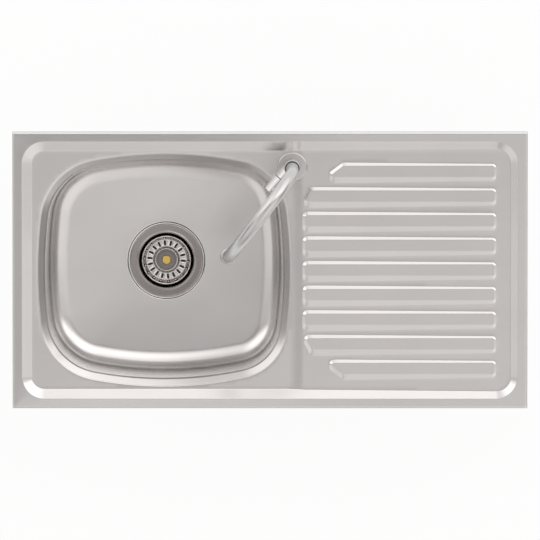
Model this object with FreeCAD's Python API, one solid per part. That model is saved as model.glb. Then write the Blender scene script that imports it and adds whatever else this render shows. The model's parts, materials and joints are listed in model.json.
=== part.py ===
import FreeCAD, Part
import math
import os

# Kitchen sink with drainboard: a pressed steel top with a welded bowl, a basket
# waste and a single-lever swan-neck tap.
# Millimetres. Z = 0 is the underside of the folded rim, where the sink sits on its
# cabinet. The origin is the middle of that rim, +X runs to the drainboard, +Y to the back.

Vector = FreeCAD.Vector
UP = Vector(0, 0, 1)

# ---- Pressed top ----
overall_length = 800.0
overall_depth = 430.0
rim_height = 28.0
deck_sheet = 0.8
fold_radius = 3.0
return_width = 14.0
rim_width = 15.5
step_bend_radius = 2.0
step_slope_deg = 30.0
tray_depth = 8.2
drainer_end_depth = 5.9
tray_corner_radius = 34.0
drainer_start_gap = 28.0

# ---- Drainboard ribs ----
rib_count = 9
rib_pitch = 38.3
rib_top_width = 18.5
rib_start_gap = 23.0
rib_end_margin = 51.4
rib_end_height = 1.5
rib_side_deg = 42.0
rib_corner_radius = 2.5
rib_edge_radius = 1.2
# How far the left end of a slanted rib is set back on its inner and outer edge,
# keyed by the rib's place counted from the middle one.
slanted_rib_setback = {3: (0.0, 10.0), 4: (34.5, 59.0)}

# ---- Bowl ----
bowl_end_margin = 39.0
bowl_centre_y = 0.5
bowl_length = 393.0
bowl_width = 361.0
bowl_depth = 150.0
bowl_sheet = 0.8
bowl_lip_width = 4.0
bowl_long_side_radius = 590.0
bowl_end_side_radius = 700.0
bowl_left_corner_radius = 100.0
bowl_right_corner_radius = 84.0
mouth_edge_radius = 0.5
shoulder_edge_radius = 4.0
shoulder_slope_deg = 24.0
shoulder_length = 0.5
shoulder_radius = 30.0
wall_slope_deg = 88.0
floor_radius = 24.0
floor_margin = 2.0

# ---- Basket waste ----
drain_offset_x = 2.0
drain_offset_y = 5.5
recess_depth = 2.4
recess_radius = 59.5
recess_bend_radius = 1.6
recess_slope_deg = 60.0
flange_radius = 57.0
flange_sheet = 1.0
flange_lip_radius = 45.0
flange_gasket_height = 1.4
cup_radius = 43.5
cup_depth = 26.0
cup_corner_radius = 5.0
cup_hole_count = 6
cup_hole_radius = 6.5
cup_hole_circle = 20.5
cup_well_radius = 9.0
cup_well_depth = 5.0
lower_gasket_height = 3.0
housing_flange_radius = 58.0
housing_flange_height = 4.0
housing_wall = 2.5
housing_depth = 34.0
housing_cone_height = 14.0
outlet_radius = 23.9
outlet_bore_radius = 20.0
outlet_length = 24.0
housing_boss_radius = 8.0
housing_boss_length = 22.0
housing_web_thickness = 3.0
housing_web_margin = 4.0
housing_web_count = 3
waste_screw_radius = 4.0
waste_screw_head_radius = 7.0
waste_screw_head_height = 2.6
waste_screw_length = 20.0
waste_screw_slot = 1.6

# ---- Basket ----
basket_sheet = 0.7
basket_rim_radius = 38.4
basket_throat_radius = 35.3
basket_floor_radius = 30.5
basket_rim_drop = 5.0
basket_hub_radius = 18.5
basket_hub_height = 4.0
basket_hub_slope = 2.5
basket_slot_count = 18
basket_slot_width = 1.9
basket_slot_inner = 20.6
basket_slot_outer = 29.4
basket_slot_first_deg = 95.3
knob_radius = 16.5
knob_height = 6.0
knob_dish_radius = 14.0
knob_dish_depth = 1.6
pin_head_radius = 6.7
pin_head_height = 1.4
pin_radius = 3.0
plug_radius = 30.0
plug_height = 4.5
plug_pocket_radius = 7.5
plug_pocket_depth = 3.5
plug_nut_flats = 10.0
plug_nut_height = 2.8

# ---- Sound pads, stiffener and clips ----
pad_thickness = 2.5
bowl_pad_length = 50.0
bowl_pad_width = 150.0
bowl_pad_gap = 8.0
drainer_pad_x = 100.0
drainer_pad_length = 120.0
drainer_pad_width = 290.0
stiffener_x = 285.0
stiffener_sheet = 1.0
stiffener_top_width = 22.0
stiffener_flange = 11.0
stiffener_depth = 10.0
stiffener_length = 330.0
clip_sheet = 1.5
clip_width = 26.0
clip_grip = 10.0
clip_drop = 24.0
clip_hole_radius = 2.3
clip_hole_drop = 14.0
clip_side_spacing = 270.0
clip_rows = 3

# ---- Tap body ----
tap_from_bowl = 2.5
tap_from_back = 54.4
tap_hole_radius = 17.5
base_gasket_height = 1.0
base_gasket_radius = 21.6
base_ring_radius = 22.5
base_ring_height = 5.0
base_ring_cover = 2.0
base_ring_edge = 1.6
foot_radius = 16.0
foot_height = 3.0
spigot_length = 0.6
column_radius = 12.6
column_height = 54.0
column_edge = 1.2
barrel_radius = 12.0
barrel_length = 23.5
handle_height = 26.0
handle_yaw = -130.5
socket_depth = 15.0
glide_seat_radius = 11.1
glide_ring_height = 2.2
glide_ring_recess = 0.6
inlet_radius = 4.5
inlet_depth = 12.0
inlet_offset_x = 5.6
inlet_offset_y = -4.6
passage_radius = 3.0
spout_feed_radius = 5.0
stud_radius = 4.0
stud_offset_y = 7.6
stud_grip = 7.6
stud_length = 62.0
running_gap = 0.08
thread_gap = 0.05

# ---- Tap clamp under the deck ----
clamp_radius = 23.0
clamp_slot_half_width = 14.0
clamp_slot_end_y = 1.5
clamp_rubber_height = 3.0
clamp_plate_height = 2.5
clamp_nut_flats = 13.0
clamp_nut_height = 6.5

# ---- Cartridge and lever ----
cartridge_radius = 9.7
cartridge_start = -8.0
cartridge_end = 19.0
cartridge_seal_height = 1.0
cartridge_seal_bore = 7.6
port_radius = 2.0
port_circle = 5.2
port_depth = 5.0
cartridge_nut_end = 24.8
cartridge_nut_notch = 2.4
carrier_radius = 7.0
carrier_end = 26.0
carrier_gap = 0.3
carrier_pocket_depth = 3.0
carrier_slot_half_height = 4.9
spindle_radius = 3.0
spindle_start = 19.4
spindle_end = 43.0
tilt_axis_offset = 22.0
tilt_pin_radius = 1.2
cap_radius = 14.3
cap_start = 25.5
cap_end = 52.0
cap_skirt_bore = 12.9
cap_skirt_depth = 6.0
cap_edge = 0.8
lever_offset = 43.5
lever_radius = 3.5
lever_length = 38.0
lever_seat_height = 13.8
lever_tip_radius = 1.6
lever_stub_radius = 2.5
lever_stub_length = 5.0
grub_offset = 36.0
grub_radius = 2.0
grub_length = 7.5

# ---- Spout ----
spout_radius = 9.5
spout_wall = 1.2
spout_yaw = -127.2
spout_insertion = 4.0
riser_height = 200.0
rear_bend_radius = 60.0
front_bend_radius = 102.0
front_bend_deg = 80.0
spout_tail = 14.0
o_ring_count = 2
o_ring_section = 0.9
o_ring_pitch = 3.6
spigot_neck_length = 8.0
spigot_bore_radius = 5.5
aerator_radius = 12.0
aerator_height = 14.0
aerator_collar = 8.0
aerator_lip = 1.2
aerator_edge = 0.8
aerator_washer_height = 1.6
aerator_insert_radius = 10.6
aerator_hole_radius = 1.1
aerator_hole_circles = (3.2, 6.4)

# ---- Heights and centres that follow ----
bowl_centre_x = -overall_length / 2 + bowl_end_margin + bowl_length / 2
bowl_right_x = bowl_centre_x + bowl_length / 2
drainer_start_x = bowl_right_x + drainer_start_gap
rib_start_x = bowl_right_x + rib_start_gap
rib_end_x = overall_length / 2 - rib_end_margin
tap_x = bowl_right_x + tap_from_bowl
tap_y = overall_depth / 2 - tap_from_back
step_run = 1.0 / math.tan(math.radians(step_slope_deg))
deck_z = rim_height - tray_depth
deck_under_z = deck_z - deck_sheet
bowl_lip_z = deck_under_z
floor_z = deck_z - bowl_depth
drain_x = bowl_centre_x + drain_offset_x
drain_y = bowl_centre_y + drain_offset_y
recess_z = floor_z - recess_depth
flange_under_z = recess_z + flange_gasket_height
cup_outer_radius = cup_radius + flange_sheet
drain_hole_radius = cup_outer_radius + 1.5
cup_floor_z = flange_under_z + flange_sheet - cup_depth
recess_under_z = recess_z - bowl_sheet
housing_top_z = recess_under_z - lower_gasket_height
housing_bore_radius = cup_outer_radius + 1.5
housing_floor_z = housing_top_z - housing_depth
outlet_top_z = housing_floor_z - housing_cone_height
outlet_end_z = outlet_top_z - outlet_length
handle_z = deck_z + handle_height
column_top_z = deck_z + column_height
socket_floor_z = column_top_z - socket_depth
spout_bottom_z = column_top_z - spout_insertion
tray_half_length = overall_length / 2 - rim_width
tray_half_depth = overall_depth / 2 - rim_width
drainer_end_x = tray_half_length - drainer_end_depth * step_run
drainer_rise = (tray_depth - drainer_end_depth) / (drainer_end_x - drainer_start_x)


def box_between(low, high):
    """Box from its lowest to its highest corner."""
    size = Vector(*high) - Vector(*low)
    return Part.makeBox(size.x, size.y, size.z, Vector(*low))


def upright(radius, low_z, high_z, x=0.0, y=0.0):
    """Upright cylinder between two heights."""
    return Part.makeCylinder(radius, high_z - low_z, Vector(x, y, low_z), UP)


def turned(points, x=0.0, y=0.0):
    """Solid turned about an upright axis from (radius, height) points."""
    corners = [Vector(radius, 0, height) for radius, height in points]
    face = Part.Face(Part.makePolygon(corners + corners[:1]))
    solid = face.revolve(Vector(0, 0, 0), UP, 360)
    solid.translate(Vector(x, y, 0))
    return solid


def turned_along_x(points):
    """Solid turned about the X axis from (distance along it, radius) points."""
    corners = [Vector(along, 0, radius) for along, radius in points]
    face = Part.Face(Part.makePolygon(corners + corners[:1]))
    return face.revolve(Vector(0, 0, 0), Vector(1, 0, 0), 360)


def bar_along_x(radius, start, end, bore=0.0):
    """Round bar along the X axis, or a tube when it has a bore."""
    return turned_along_x([(start, bore), (end, bore), (end, radius), (start, radius)])


def hexagon(flats, low_z, high_z, x, y):
    """Hexagonal prism, such as a nut, by its width across flats."""
    corner = flats / math.sqrt(3)
    points = []
    for side in range(7):
        angle = math.radians(60 * side)
        points.append(Vector(x + corner * math.cos(angle), y + corner * math.sin(angle), low_z))
    return Part.Face(Part.makePolygon(points)).extrude(Vector(0, 0, high_z - low_z))


def edges_where(shape, test):
    """Edges of a shape whose end and middle points all pass a test."""
    found = []
    for edge in shape.Edges:
        middle = edge.valueAt((edge.FirstParameter + edge.LastParameter) / 2)
        points = [vertex.Point for vertex in edge.Vertexes] + [middle]
        if all(test(point) for point in points):
            found.append(edge)
    return found


def at_height(z):
    """Test for points that lie at one height."""
    return lambda point: abs(point.z - z) < 0.001


# ---- Outlines with rounded corners ----


def corner_arcs(corners, radius):
    """Arc centre and start and end angle at each corner of an anticlockwise outline."""
    arcs = []
    for index, corner in enumerate(corners):
        before = (corner - corners[index - 1]).normalize()
        after = (corners[(index + 1) % len(corners)] - corner).normalize()
        turn = math.atan2(before.x * after.y - before.y * after.x, before.dot(after))
        reach = radius * math.tan(turn / 2)
        centre = corner - before * reach + Vector(-before.y, before.x, 0) * radius
        start = math.atan2(-before.x, before.y)
        arcs.append((centre, start, start + turn))
    return arcs


def on_circle(centre, radius, angle, z):
    """Point of a level circle."""
    return Vector(centre.x + radius * math.cos(angle), centre.y + radius * math.sin(angle), z)


def rounded_wire(arcs, radius, z):
    """Closed level wire of corner arcs joined by straight runs."""
    edges = []
    for index, (centre, start, end) in enumerate(arcs):
        middle = (start + end) / 2
        points = [on_circle(centre, radius, angle, z) for angle in (start, middle, end)]
        edges.append(Part.Arc(*points).toShape())
        next_centre, next_start, next_end = arcs[(index + 1) % len(arcs)]
        edges.append(Part.makeLine(points[2], on_circle(next_centre, radius, next_start, z)))
    return Part.Wire(edges)


def sloped_prism(corners, radius, z, far_z, widening):
    """Prism with flat sloping sides and cone corners, wider by widening at its far height."""
    arcs = corner_arcs(corners, radius)
    far_radius = radius + widening
    faces = [Part.Face(rounded_wire(arcs, radius, z)), Part.Face(rounded_wire(arcs, far_radius, far_z))]
    for index, (centre, start, end) in enumerate(arcs):
        near_end = on_circle(centre, radius, start, z)
        slope = Part.makeLine(near_end, on_circle(centre, far_radius, start, far_z))
        faces.append(slope.revolve(Vector(centre.x, centre.y, 0), UP, math.degrees(end - start)))
        next_centre, next_start, next_end = arcs[(index + 1) % len(arcs)]
        side = [
            on_circle(centre, radius, end, z),
            on_circle(next_centre, radius, next_start, z),
            on_circle(next_centre, far_radius, next_start, far_z),
            on_circle(centre, far_radius, end, far_z),
        ]
        faces.append(Part.Face(Part.makePolygon(side + side[:1])))
    shell = Part.Shell(faces)
    shell.sewShape()
    solid = Part.Solid(shell)
    return solid if solid.Volume > 0 else solid.reversed()


# ---- Pressed top ----


def floor_height(x):
    """Height of the deck's upper face: level beside the bowl, rising along the drainboard."""
    return deck_z + drainer_rise * max(0.0, x - drainer_start_x)


def tray_space(depth_below):
    """Space over the sunken deck, or with a sheet's thickness below it, over its underside."""
    spread = depth_below * (math.sqrt(1 + step_run ** 2) - step_run)
    half_x = tray_half_length + spread
    half_y = tray_half_depth + spread
    corners = [Vector(-half_x, -half_y, 0), Vector(half_x, -half_y, 0)]
    corners += [Vector(half_x, half_y, 0), Vector(-half_x, half_y, 0)]
    top_z = rim_height - depth_below
    below = tray_depth + 1.0
    space = sloped_prism(corners, tray_corner_radius + spread, top_z, top_z - below, -below * step_run)
    wedge_points = [
        Vector(-half_x, -half_y, deck_z - depth_below),
        Vector(drainer_start_x, -half_y, deck_z - depth_below),
        Vector(half_x, -half_y, floor_height(half_x) - depth_below),
        Vector(half_x, -half_y, top_z - 2 * below),
        Vector(-half_x, -half_y, top_z - 2 * below),
    ]
    wedge = Part.Face(Part.makePolygon(wedge_points + wedge_points[:1]))
    space = space.cut(wedge.extrude(Vector(0, 2 * half_y, 0)))

    def on_floor(point):
        return abs(point.z - floor_height(point.x) + depth_below) < 0.001

    outline = [edge for edge in edges_where(space, on_floor) if not runs_across(edge, drainer_start_x)]
    return space.makeFillet(step_bend_radius + depth_below, outline)


def runs_across(edge, x):
    """True for an edge that lies wholly at one x."""
    return all(abs(vertex.X - x) < 0.001 for vertex in edge.Vertexes)


def rib_corners(place):
    """Plan corners of one rib's flat top; place counts from 0 at the middle, + to the back."""
    middle_y = place * rib_pitch
    low_y = middle_y - rib_top_width / 2
    high_y = middle_y + rib_top_width / 2
    inner, outer = slanted_rib_setback.get(abs(place), (0.0, 0.0))
    low_setback, high_setback = (inner, outer) if place > 0 else (outer, inner)
    return [
        Vector(rib_start_x + low_setback, low_y, 0),
        Vector(rib_end_x, low_y, 0),
        Vector(rib_end_x, high_y, 0),
        Vector(rib_start_x + high_setback, high_y, 0),
    ]


def rib_solid(place, inset):
    """Raised rib with a level top; an inset of one sheet gives the hollow underneath."""
    slope = 1.0 / math.tan(math.radians(rib_side_deg))
    top_z = floor_height(rib_end_x) + rib_end_height - inset
    foot_z = deck_under_z - inset
    spread = inset * (math.sqrt(1 + slope ** 2) - slope)
    rise = top_z - foot_z
    corners = shrunk(rib_corners(place), spread)
    rib = sloped_prism(corners, rib_corner_radius - spread, top_z, foot_z, rise * slope)
    return rib.makeFillet(rib_edge_radius - inset / 2, edges_where(rib, at_height(top_z)))


def shrunk(corners, distance):
    """Anticlockwise outline with every side moved inward."""
    moved = []
    for index, corner in enumerate(corners):
        before = (corner - corners[index - 1]).normalize()
        after = (corners[(index + 1) % len(corners)] - corner).normalize()
        turn = math.atan2(before.x * after.y - before.y * after.x, before.dot(after))
        inward = Vector(-before.y, before.x, 0) * distance
        moved.append(corner + inward - before * distance * math.tan(turn / 2))
    return moved


def all_ribs(inset):
    """Every rib, or every hollow under one."""
    middle = (rib_count - 1) // 2
    return [rib_solid(place - middle, inset) for place in range(rib_count)]


def folded_block(margin, low_z, top_z, radius):
    """Rectangular block with its four top edges rounded."""
    half_x = overall_length / 2 - margin
    half_y = overall_depth / 2 - margin
    block = box_between((-half_x, -half_y, low_z), (half_x, half_y, top_z))
    return block.makeFillet(radius, edges_where(block, at_height(top_z)))


def with_tray(block, space, top_z, radius):
    """Block with the tray pressed into it and the rim's inner edge rounded."""
    pressed = block.cut(space)
    half_x = tray_half_length + 1.0
    half_y = tray_half_depth + 1.0

    def on_rim_edge(point):
        return abs(point.z - top_z) < 0.001 and abs(point.x) < half_x and abs(point.y) < half_y

    return pressed.makeFillet(radius, edges_where(pressed, on_rim_edge))


def make_deck_panel():
    """Steel top: folded rim, sunken deck and drainboard with hollow ribs."""
    outside = folded_block(0.0, 0.0, rim_height, fold_radius)
    outside = with_tray(outside, tray_space(0.0), rim_height, step_bend_radius)
    inside_top = rim_height - deck_sheet
    inside = folded_block(deck_sheet, deck_sheet, inside_top, fold_radius - deck_sheet)
    inside = with_tray(inside, tray_space(deck_sheet), inside_top, step_bend_radius - deck_sheet)
    panel = outside.fuse(all_ribs(0.0)).cut(inside.fuse(all_ribs(deck_sheet)))
    open_x = overall_length / 2 - return_width
    open_y = overall_depth / 2 - return_width
    panel = panel.cut(box_between((-open_x, -open_y, -1.0), (open_x, open_y, 2 * deck_sheet)))
    mouth = Part.Face(mouth_wire(0.0, deck_under_z - 1.0)).extrude(Vector(0, 0, tray_depth))
    panel = panel.cut(mouth).cut(upright(tap_hole_radius, 0.0, rim_height, tap_x, tap_y))
    panel = panel.removeSplitter()
    mouth_radius = max(bowl_length, bowl_width) / 2 + 1.0

    def on_mouth(point):
        near = math.hypot(point.x - bowl_centre_x, point.y - bowl_centre_y) < 1.5 * mouth_radius
        inside_mouth = point.x < bowl_centre_x + mouth_radius and point.x > bowl_centre_x - mouth_radius
        return near and inside_mouth and abs(point.z - deck_z) < 0.001

    edges = [edge for edge in edges_where(panel, on_mouth) if is_mouth_edge(edge)]
    return panel.makeFillet(mouth_edge_radius, edges)


def is_mouth_edge(edge):
    """True for a level arc of the bowl's mouth."""
    side_radii = (bowl_long_side_radius, bowl_end_side_radius)
    radii = side_radii + (bowl_left_corner_radius, bowl_right_corner_radius)
    is_arc = hasattr(edge.Curve, "Radius")
    return is_arc and any(abs(edge.Curve.Radius - radius) < 0.001 for radius in radii)


# ---- Bowl ----


def meeting_centre(first, first_reach, second, second_reach, towards):
    """Point at given distances from two centres, on the side of a direction."""
    apart = second - first
    along = (first_reach ** 2 - second_reach ** 2 + apart.Length ** 2) / (2 * apart.Length)
    across = math.sqrt(first_reach ** 2 - along ** 2)
    unit = Vector(apart).normalize()
    side = Vector(-unit.y, unit.x, 0) * across
    foot = first + unit * along
    return max((foot + side, foot - side), key=lambda point: point.dot(towards))


def mouth_arcs():
    """The eight tangent arcs of the bowl's mouth, anticlockwise: centre, radius, start, end angle."""
    half_x = bowl_length / 2
    half_y = bowl_width / 2
    middle = Vector(bowl_centre_x, bowl_centre_y, 0)
    sides = [
        (middle + Vector(half_x - bowl_end_side_radius, 0, 0), bowl_end_side_radius),
        (middle + Vector(0, half_y - bowl_long_side_radius, 0), bowl_long_side_radius),
        (middle - Vector(half_x - bowl_end_side_radius, 0, 0), bowl_end_side_radius),
        (middle - Vector(0, half_y - bowl_long_side_radius, 0), bowl_long_side_radius),
    ]
    ways = [Vector(1, 1, 0), Vector(-1, 1, 0), Vector(-1, -1, 0), Vector(1, -1, 0)]
    left, right = bowl_left_corner_radius, bowl_right_corner_radius
    radii = [right, left, left, right]
    corners = []
    for index, way in enumerate(ways):
        first, first_radius = sides[index]
        second, second_radius = sides[(index + 1) % 4]
        reach = (first_radius - radii[index], second_radius - radii[index])
        centre = meeting_centre(first, reach[0], second, reach[1], way)
        start = math.atan2(centre.y - first.y, centre.x - first.x)
        end = math.atan2(centre.y - second.y, centre.x - second.x)
        corners.append((centre, radii[index], start, start + (end - start) % (2 * math.pi)))
    arcs = []
    for index, corner in enumerate(corners):
        side_centre, side_radius = sides[index]
        start = corners[index - 1][3]
        sweep = (corner[2] - start) % (2 * math.pi)
        arcs.append((side_centre, side_radius, start, start + sweep))
        arcs.append(corner)
    return arcs


def mouth_wire(inset, z):
    """Closed level wire parallel to the bowl's mouth."""
    edges = []
    for centre, radius, start, end in mouth_arcs():
        middle = (start + end) / 2
        points = [on_circle(centre, radius - inset, angle, z) for angle in (start, middle, end)]
        edges.append(Part.Arc(*points).toShape())
    return Part.Wire(edges)


def sheet_section(start_along, start_z, moves, thickness):
    """Section of bent sheet in the XZ plane, from moves of its upper face.

    A move is ("run", length) or ("bend", radius, degrees), positive degrees bending
    downward. The lower face follows at one thickness. Returns the face and where the
    upper face ends.
    """
    heading = 0.0
    along = start_along
    z = start_z
    upper = []
    lower = []

    def below(x, height, angle):
        return Vector(x - thickness * math.sin(angle), 0, height - thickness * math.cos(angle))

    first = (Vector(along, 0, z), below(along, z, heading))
    for move in moves:
        if move[0] == "run":
            next_along = along + move[1] * math.cos(heading)
            next_z = z - move[1] * math.sin(heading)
            upper.append(Part.makeLine(Vector(along, 0, z), Vector(next_along, 0, next_z)))
            lower.append(Part.makeLine(below(along, z, heading), below(next_along, next_z, heading)))
            along, z = next_along, next_z
            continue
        radius, turn = move[1], math.radians(move[2])
        side = 1.0 if turn > 0 else -1.0
        centre_along = along - side * radius * math.sin(heading)
        centre_z = z - side * radius * math.cos(heading)
        upper_points = []
        lower_points = []
        for share in (0.0, 0.5, 1.0):
            angle = heading + turn * share
            x = centre_along + side * radius * math.sin(angle)
            height = centre_z + side * radius * math.cos(angle)
            upper_points.append(Vector(x, 0, height))
            lower_points.append(below(x, height, angle))
        upper.append(Part.Arc(*upper_points).toShape())
        lower.append(Part.Arc(*lower_points).toShape())
        heading += turn
        along, z = upper_points[2].x, upper_points[2].z
    last = (Vector(along, 0, z), below(along, z, heading))
    caps = [Part.makeLine(first[0], first[1]), Part.makeLine(last[0], last[1])]
    wire = Part.Wire(Part.__sortEdges__(upper + caps + lower))
    return Part.Face(wire), (along, z)


def bowl_section():
    """Section of the bowl's sheet from the lip under the deck to the flat floor."""
    slope = math.radians(wall_slope_deg)
    shoulder = math.radians(shoulder_slope_deg)
    drop = shoulder_edge_radius * (1 - math.cos(shoulder)) + shoulder_length * math.sin(shoulder)
    drop += shoulder_radius * (math.cos(shoulder) - math.cos(slope))
    drop += floor_radius * (1 - math.cos(slope))
    wall_length = (bowl_lip_z - floor_z - drop) / math.sin(slope)
    moves = [
        ("run", bowl_lip_width),
        ("bend", shoulder_edge_radius, shoulder_slope_deg),
        ("run", shoulder_length),
        ("bend", shoulder_radius, wall_slope_deg - shoulder_slope_deg),
        ("run", wall_length),
        ("bend", floor_radius, -wall_slope_deg),
        ("run", floor_margin),
    ]
    return sheet_section(-bowl_lip_width, bowl_lip_z, moves, bowl_sheet)


def make_bowl():
    """Pressed bowl with a stepped seat for the waste."""
    section, (floor_inset, end_z) = bowl_section()
    pieces = []
    for centre, radius, start, end in mouth_arcs():
        piece = section.copy()
        piece.rotate(Vector(0, 0, 0), UP, math.degrees(start) + 180)
        piece.translate(on_circle(centre, radius, start, 0.0))
        pieces.append(piece.revolve(Vector(centre.x, centre.y, 0), UP, math.degrees(end - start)))
    floor = Part.Face(mouth_wire(floor_inset, floor_z)).extrude(Vector(0, 0, -bowl_sheet))
    seat_edge = recess_radius + 2 * recess_bend_radius
    floor = floor.cut(upright(seat_edge, floor_z - 5.0, floor_z + 5.0, drain_x, drain_y))
    seat_slope = math.radians(recess_slope_deg)
    bend_drop = recess_bend_radius * (1 - math.cos(seat_slope))
    slope_length = (recess_depth - 2 * bend_drop) / math.sin(seat_slope)
    bends_run = 2 * recess_bend_radius * math.sin(seat_slope) + slope_length * math.cos(seat_slope)
    lead_in = recess_bend_radius / 2
    moves = [
        ("run", lead_in),
        ("bend", recess_bend_radius, recess_slope_deg),
        ("run", slope_length),
        ("bend", recess_bend_radius, -recess_slope_deg),
        ("run", seat_edge - lead_in - bends_run - drain_hole_radius),
    ]
    seat, _ = sheet_section(0.0, floor_z, moves, bowl_sheet)
    seat.rotate(Vector(0, 0, 0), UP, 180)
    seat.translate(Vector(drain_x + seat_edge, drain_y, 0))
    pieces.append(floor)
    pieces.append(seat.revolve(Vector(drain_x, drain_y, 0), UP, 360))
    return pieces[0].multiFuse(pieces[1:]).removeSplitter()


# ---- Waste ----


def ring_of(solid, count, first_deg=0.0):
    """Copies of a solid spaced evenly round the drain's axis."""
    copies = []
    for index in range(count):
        copy = solid.copy()
        copy.rotate(Vector(drain_x, drain_y, 0), UP, first_deg + 360.0 * index / count)
        copies.append(copy)
    return copies


def waste_ring(inner, outer, low_z, high_z):
    """Flat ring about the drain's axis."""
    hole = upright(inner, low_z - 1, high_z + 1, drain_x, drain_y)
    return upright(outer, low_z, high_z, drain_x, drain_y).cut(hole)


def make_strainer_body():
    """Steel flange and cup that hold the basket."""
    top_z = flange_under_z + flange_sheet
    points = [
        (flange_radius, flange_under_z),
        (flange_radius, flange_under_z + 0.4 * flange_sheet),
        (flange_radius - 1.5, top_z),
        (flange_lip_radius + 2.0, top_z - 0.3),
        (flange_lip_radius, top_z + 0.6),
        (cup_radius, top_z - 0.4),
        (cup_radius, cup_floor_z + cup_corner_radius),
        (cup_radius - cup_corner_radius, cup_floor_z),
        (cup_well_radius, cup_floor_z),
        (cup_well_radius, cup_floor_z - cup_well_depth),
        (waste_screw_radius + thread_gap, cup_floor_z - cup_well_depth),
        (waste_screw_radius + thread_gap, cup_floor_z - cup_well_depth - flange_sheet),
        (cup_well_radius + flange_sheet, cup_floor_z - cup_well_depth - flange_sheet),
        (cup_well_radius + flange_sheet, cup_floor_z - flange_sheet),
        (cup_radius - cup_corner_radius, cup_floor_z - flange_sheet),
        (cup_outer_radius, cup_floor_z + cup_corner_radius),
        (cup_outer_radius, flange_under_z),
    ]
    body = turned(points, drain_x, drain_y)
    hole_x = drain_x + cup_hole_circle
    hole = upright(cup_hole_radius, cup_floor_z - 3.0, cup_floor_z + 3.0, hole_x, drain_y)
    return body.cut(ring_of(hole, cup_hole_count))


def make_waste_housing():
    """Plastic body under the bowl with its threaded outlet and central boss."""
    outer = housing_bore_radius + housing_wall
    boss_top_z = cup_floor_z - cup_well_depth - flange_sheet
    points = [
        (housing_bore_radius, housing_top_z),
        (housing_flange_radius, housing_top_z),
        (housing_flange_radius, housing_top_z - housing_flange_height),
        (outer, housing_top_z - housing_flange_height),
        (outer, housing_floor_z),
        (outlet_radius, outlet_top_z),
        (outlet_radius, outlet_end_z),
        (outlet_bore_radius, outlet_end_z),
        (outlet_bore_radius, outlet_top_z),
        (housing_bore_radius, housing_floor_z),
    ]
    shell = turned(points, drain_x, drain_y)
    boss_low_z = boss_top_z - housing_boss_length
    boss = upright(housing_boss_radius, boss_low_z, boss_top_z, drain_x, drain_y)
    half_web = housing_web_thickness / 2
    web_low = (drain_x, drain_y - half_web, boss_low_z + housing_web_margin)
    web_end = drain_x + housing_bore_radius + 1.0
    web_high = (web_end, drain_y + half_web, boss_top_z - housing_web_margin)
    webs = ring_of(box_between(web_low, web_high), housing_web_count, 30.0)
    body = shell.fuse([boss] + webs)
    hole_radius = waste_screw_radius + thread_gap
    screw_hole = upright(hole_radius, boss_low_z - 1, boss_top_z + 1, drain_x, drain_y)
    return body.cut(screw_hole).removeSplitter()


def make_waste_screw():
    """Central screw that pulls the strainer and the housing together."""
    head_z = cup_floor_z - cup_well_depth
    head = upright(waste_screw_head_radius, head_z, head_z + waste_screw_head_height, drain_x, drain_y)
    shank = upright(waste_screw_radius, head_z - waste_screw_length, head_z, drain_x, drain_y)
    half_slot = waste_screw_slot / 2
    slot_z = head_z + waste_screw_head_height / 2
    slot_low = (drain_x - waste_screw_head_radius, drain_y - half_slot, slot_z)
    slot_high = (drain_x + waste_screw_head_radius, drain_y + half_slot, slot_z + waste_screw_head_height)
    return head.fuse(shank).cut(box_between(slot_low, slot_high)).removeSplitter()


# ---- Basket ----

plug_bottom_z = cup_floor_z
basket_under_z = plug_bottom_z + plug_height
basket_rim_z = flange_under_z + flange_sheet - basket_rim_drop
hub_under_z = basket_under_z + basket_hub_height


def make_basket():
    """Steel basket with radial slots and a raised hub."""
    sheet = basket_sheet
    points = [
        (basket_rim_radius, basket_rim_z - 1.6),
        (basket_rim_radius, basket_rim_z - 0.4),
        (basket_rim_radius - 0.8, basket_rim_z),
        (basket_throat_radius + 0.6, basket_rim_z - 0.2),
        (basket_throat_radius, basket_rim_z - 1.4),
        (basket_floor_radius, basket_under_z + sheet),
        (basket_hub_radius + basket_hub_slope, basket_under_z + sheet),
        (basket_hub_radius, hub_under_z + sheet),
        (pin_radius + thread_gap, hub_under_z + sheet),
        (pin_radius + thread_gap, hub_under_z),
        (basket_hub_radius - 0.3, hub_under_z),
        (basket_hub_radius + basket_hub_slope - 0.3, basket_under_z),
        (basket_floor_radius + 0.4, basket_under_z),
        (basket_throat_radius + sheet, basket_rim_z - 1.6),
    ]
    shell = turned(points, drain_x, drain_y)
    slot_low = (drain_x + basket_slot_inner, drain_y - basket_slot_width / 2, basket_under_z - 1)
    slot_high = (drain_x + basket_slot_outer, drain_y + basket_slot_width / 2, basket_under_z + sheet + 1)
    return shell.cut(ring_of(box_between(slot_low, slot_high), basket_slot_count, basket_slot_first_deg))


knob_bottom_z = hub_under_z + basket_sheet
knob_top_z = knob_bottom_z + knob_height


def make_basket_knob():
    """Dished grey knob that lifts the basket."""
    points = [
        (pin_radius + thread_gap, knob_bottom_z),
        (knob_radius - 1.5, knob_bottom_z),
        (knob_radius, knob_bottom_z + 1.5),
        (knob_radius, knob_top_z - 0.8),
        (knob_radius - 0.8, knob_top_z),
        (knob_dish_radius + 0.8, knob_top_z),
        (knob_dish_radius, knob_top_z - knob_dish_depth),
        (pin_radius + thread_gap, knob_top_z - knob_dish_depth),
    ]
    return turned(points, drain_x, drain_y)


def make_basket_pin():
    """Brass pin through knob, basket and plug; its head is the yellow dot in the knob."""
    head_z = knob_top_z - knob_dish_depth
    stem_end_z = plug_bottom_z + plug_pocket_depth - plug_nut_height
    points = [
        (0, stem_end_z),
        (pin_radius, stem_end_z),
        (pin_radius, head_z),
        (pin_head_radius, head_z),
        (pin_head_radius, head_z + 0.6 * pin_head_height),
        (pin_head_radius - 1.0, head_z + pin_head_height),
        (0, head_z + pin_head_height),
    ]
    return turned(points, drain_x, drain_y)


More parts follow.
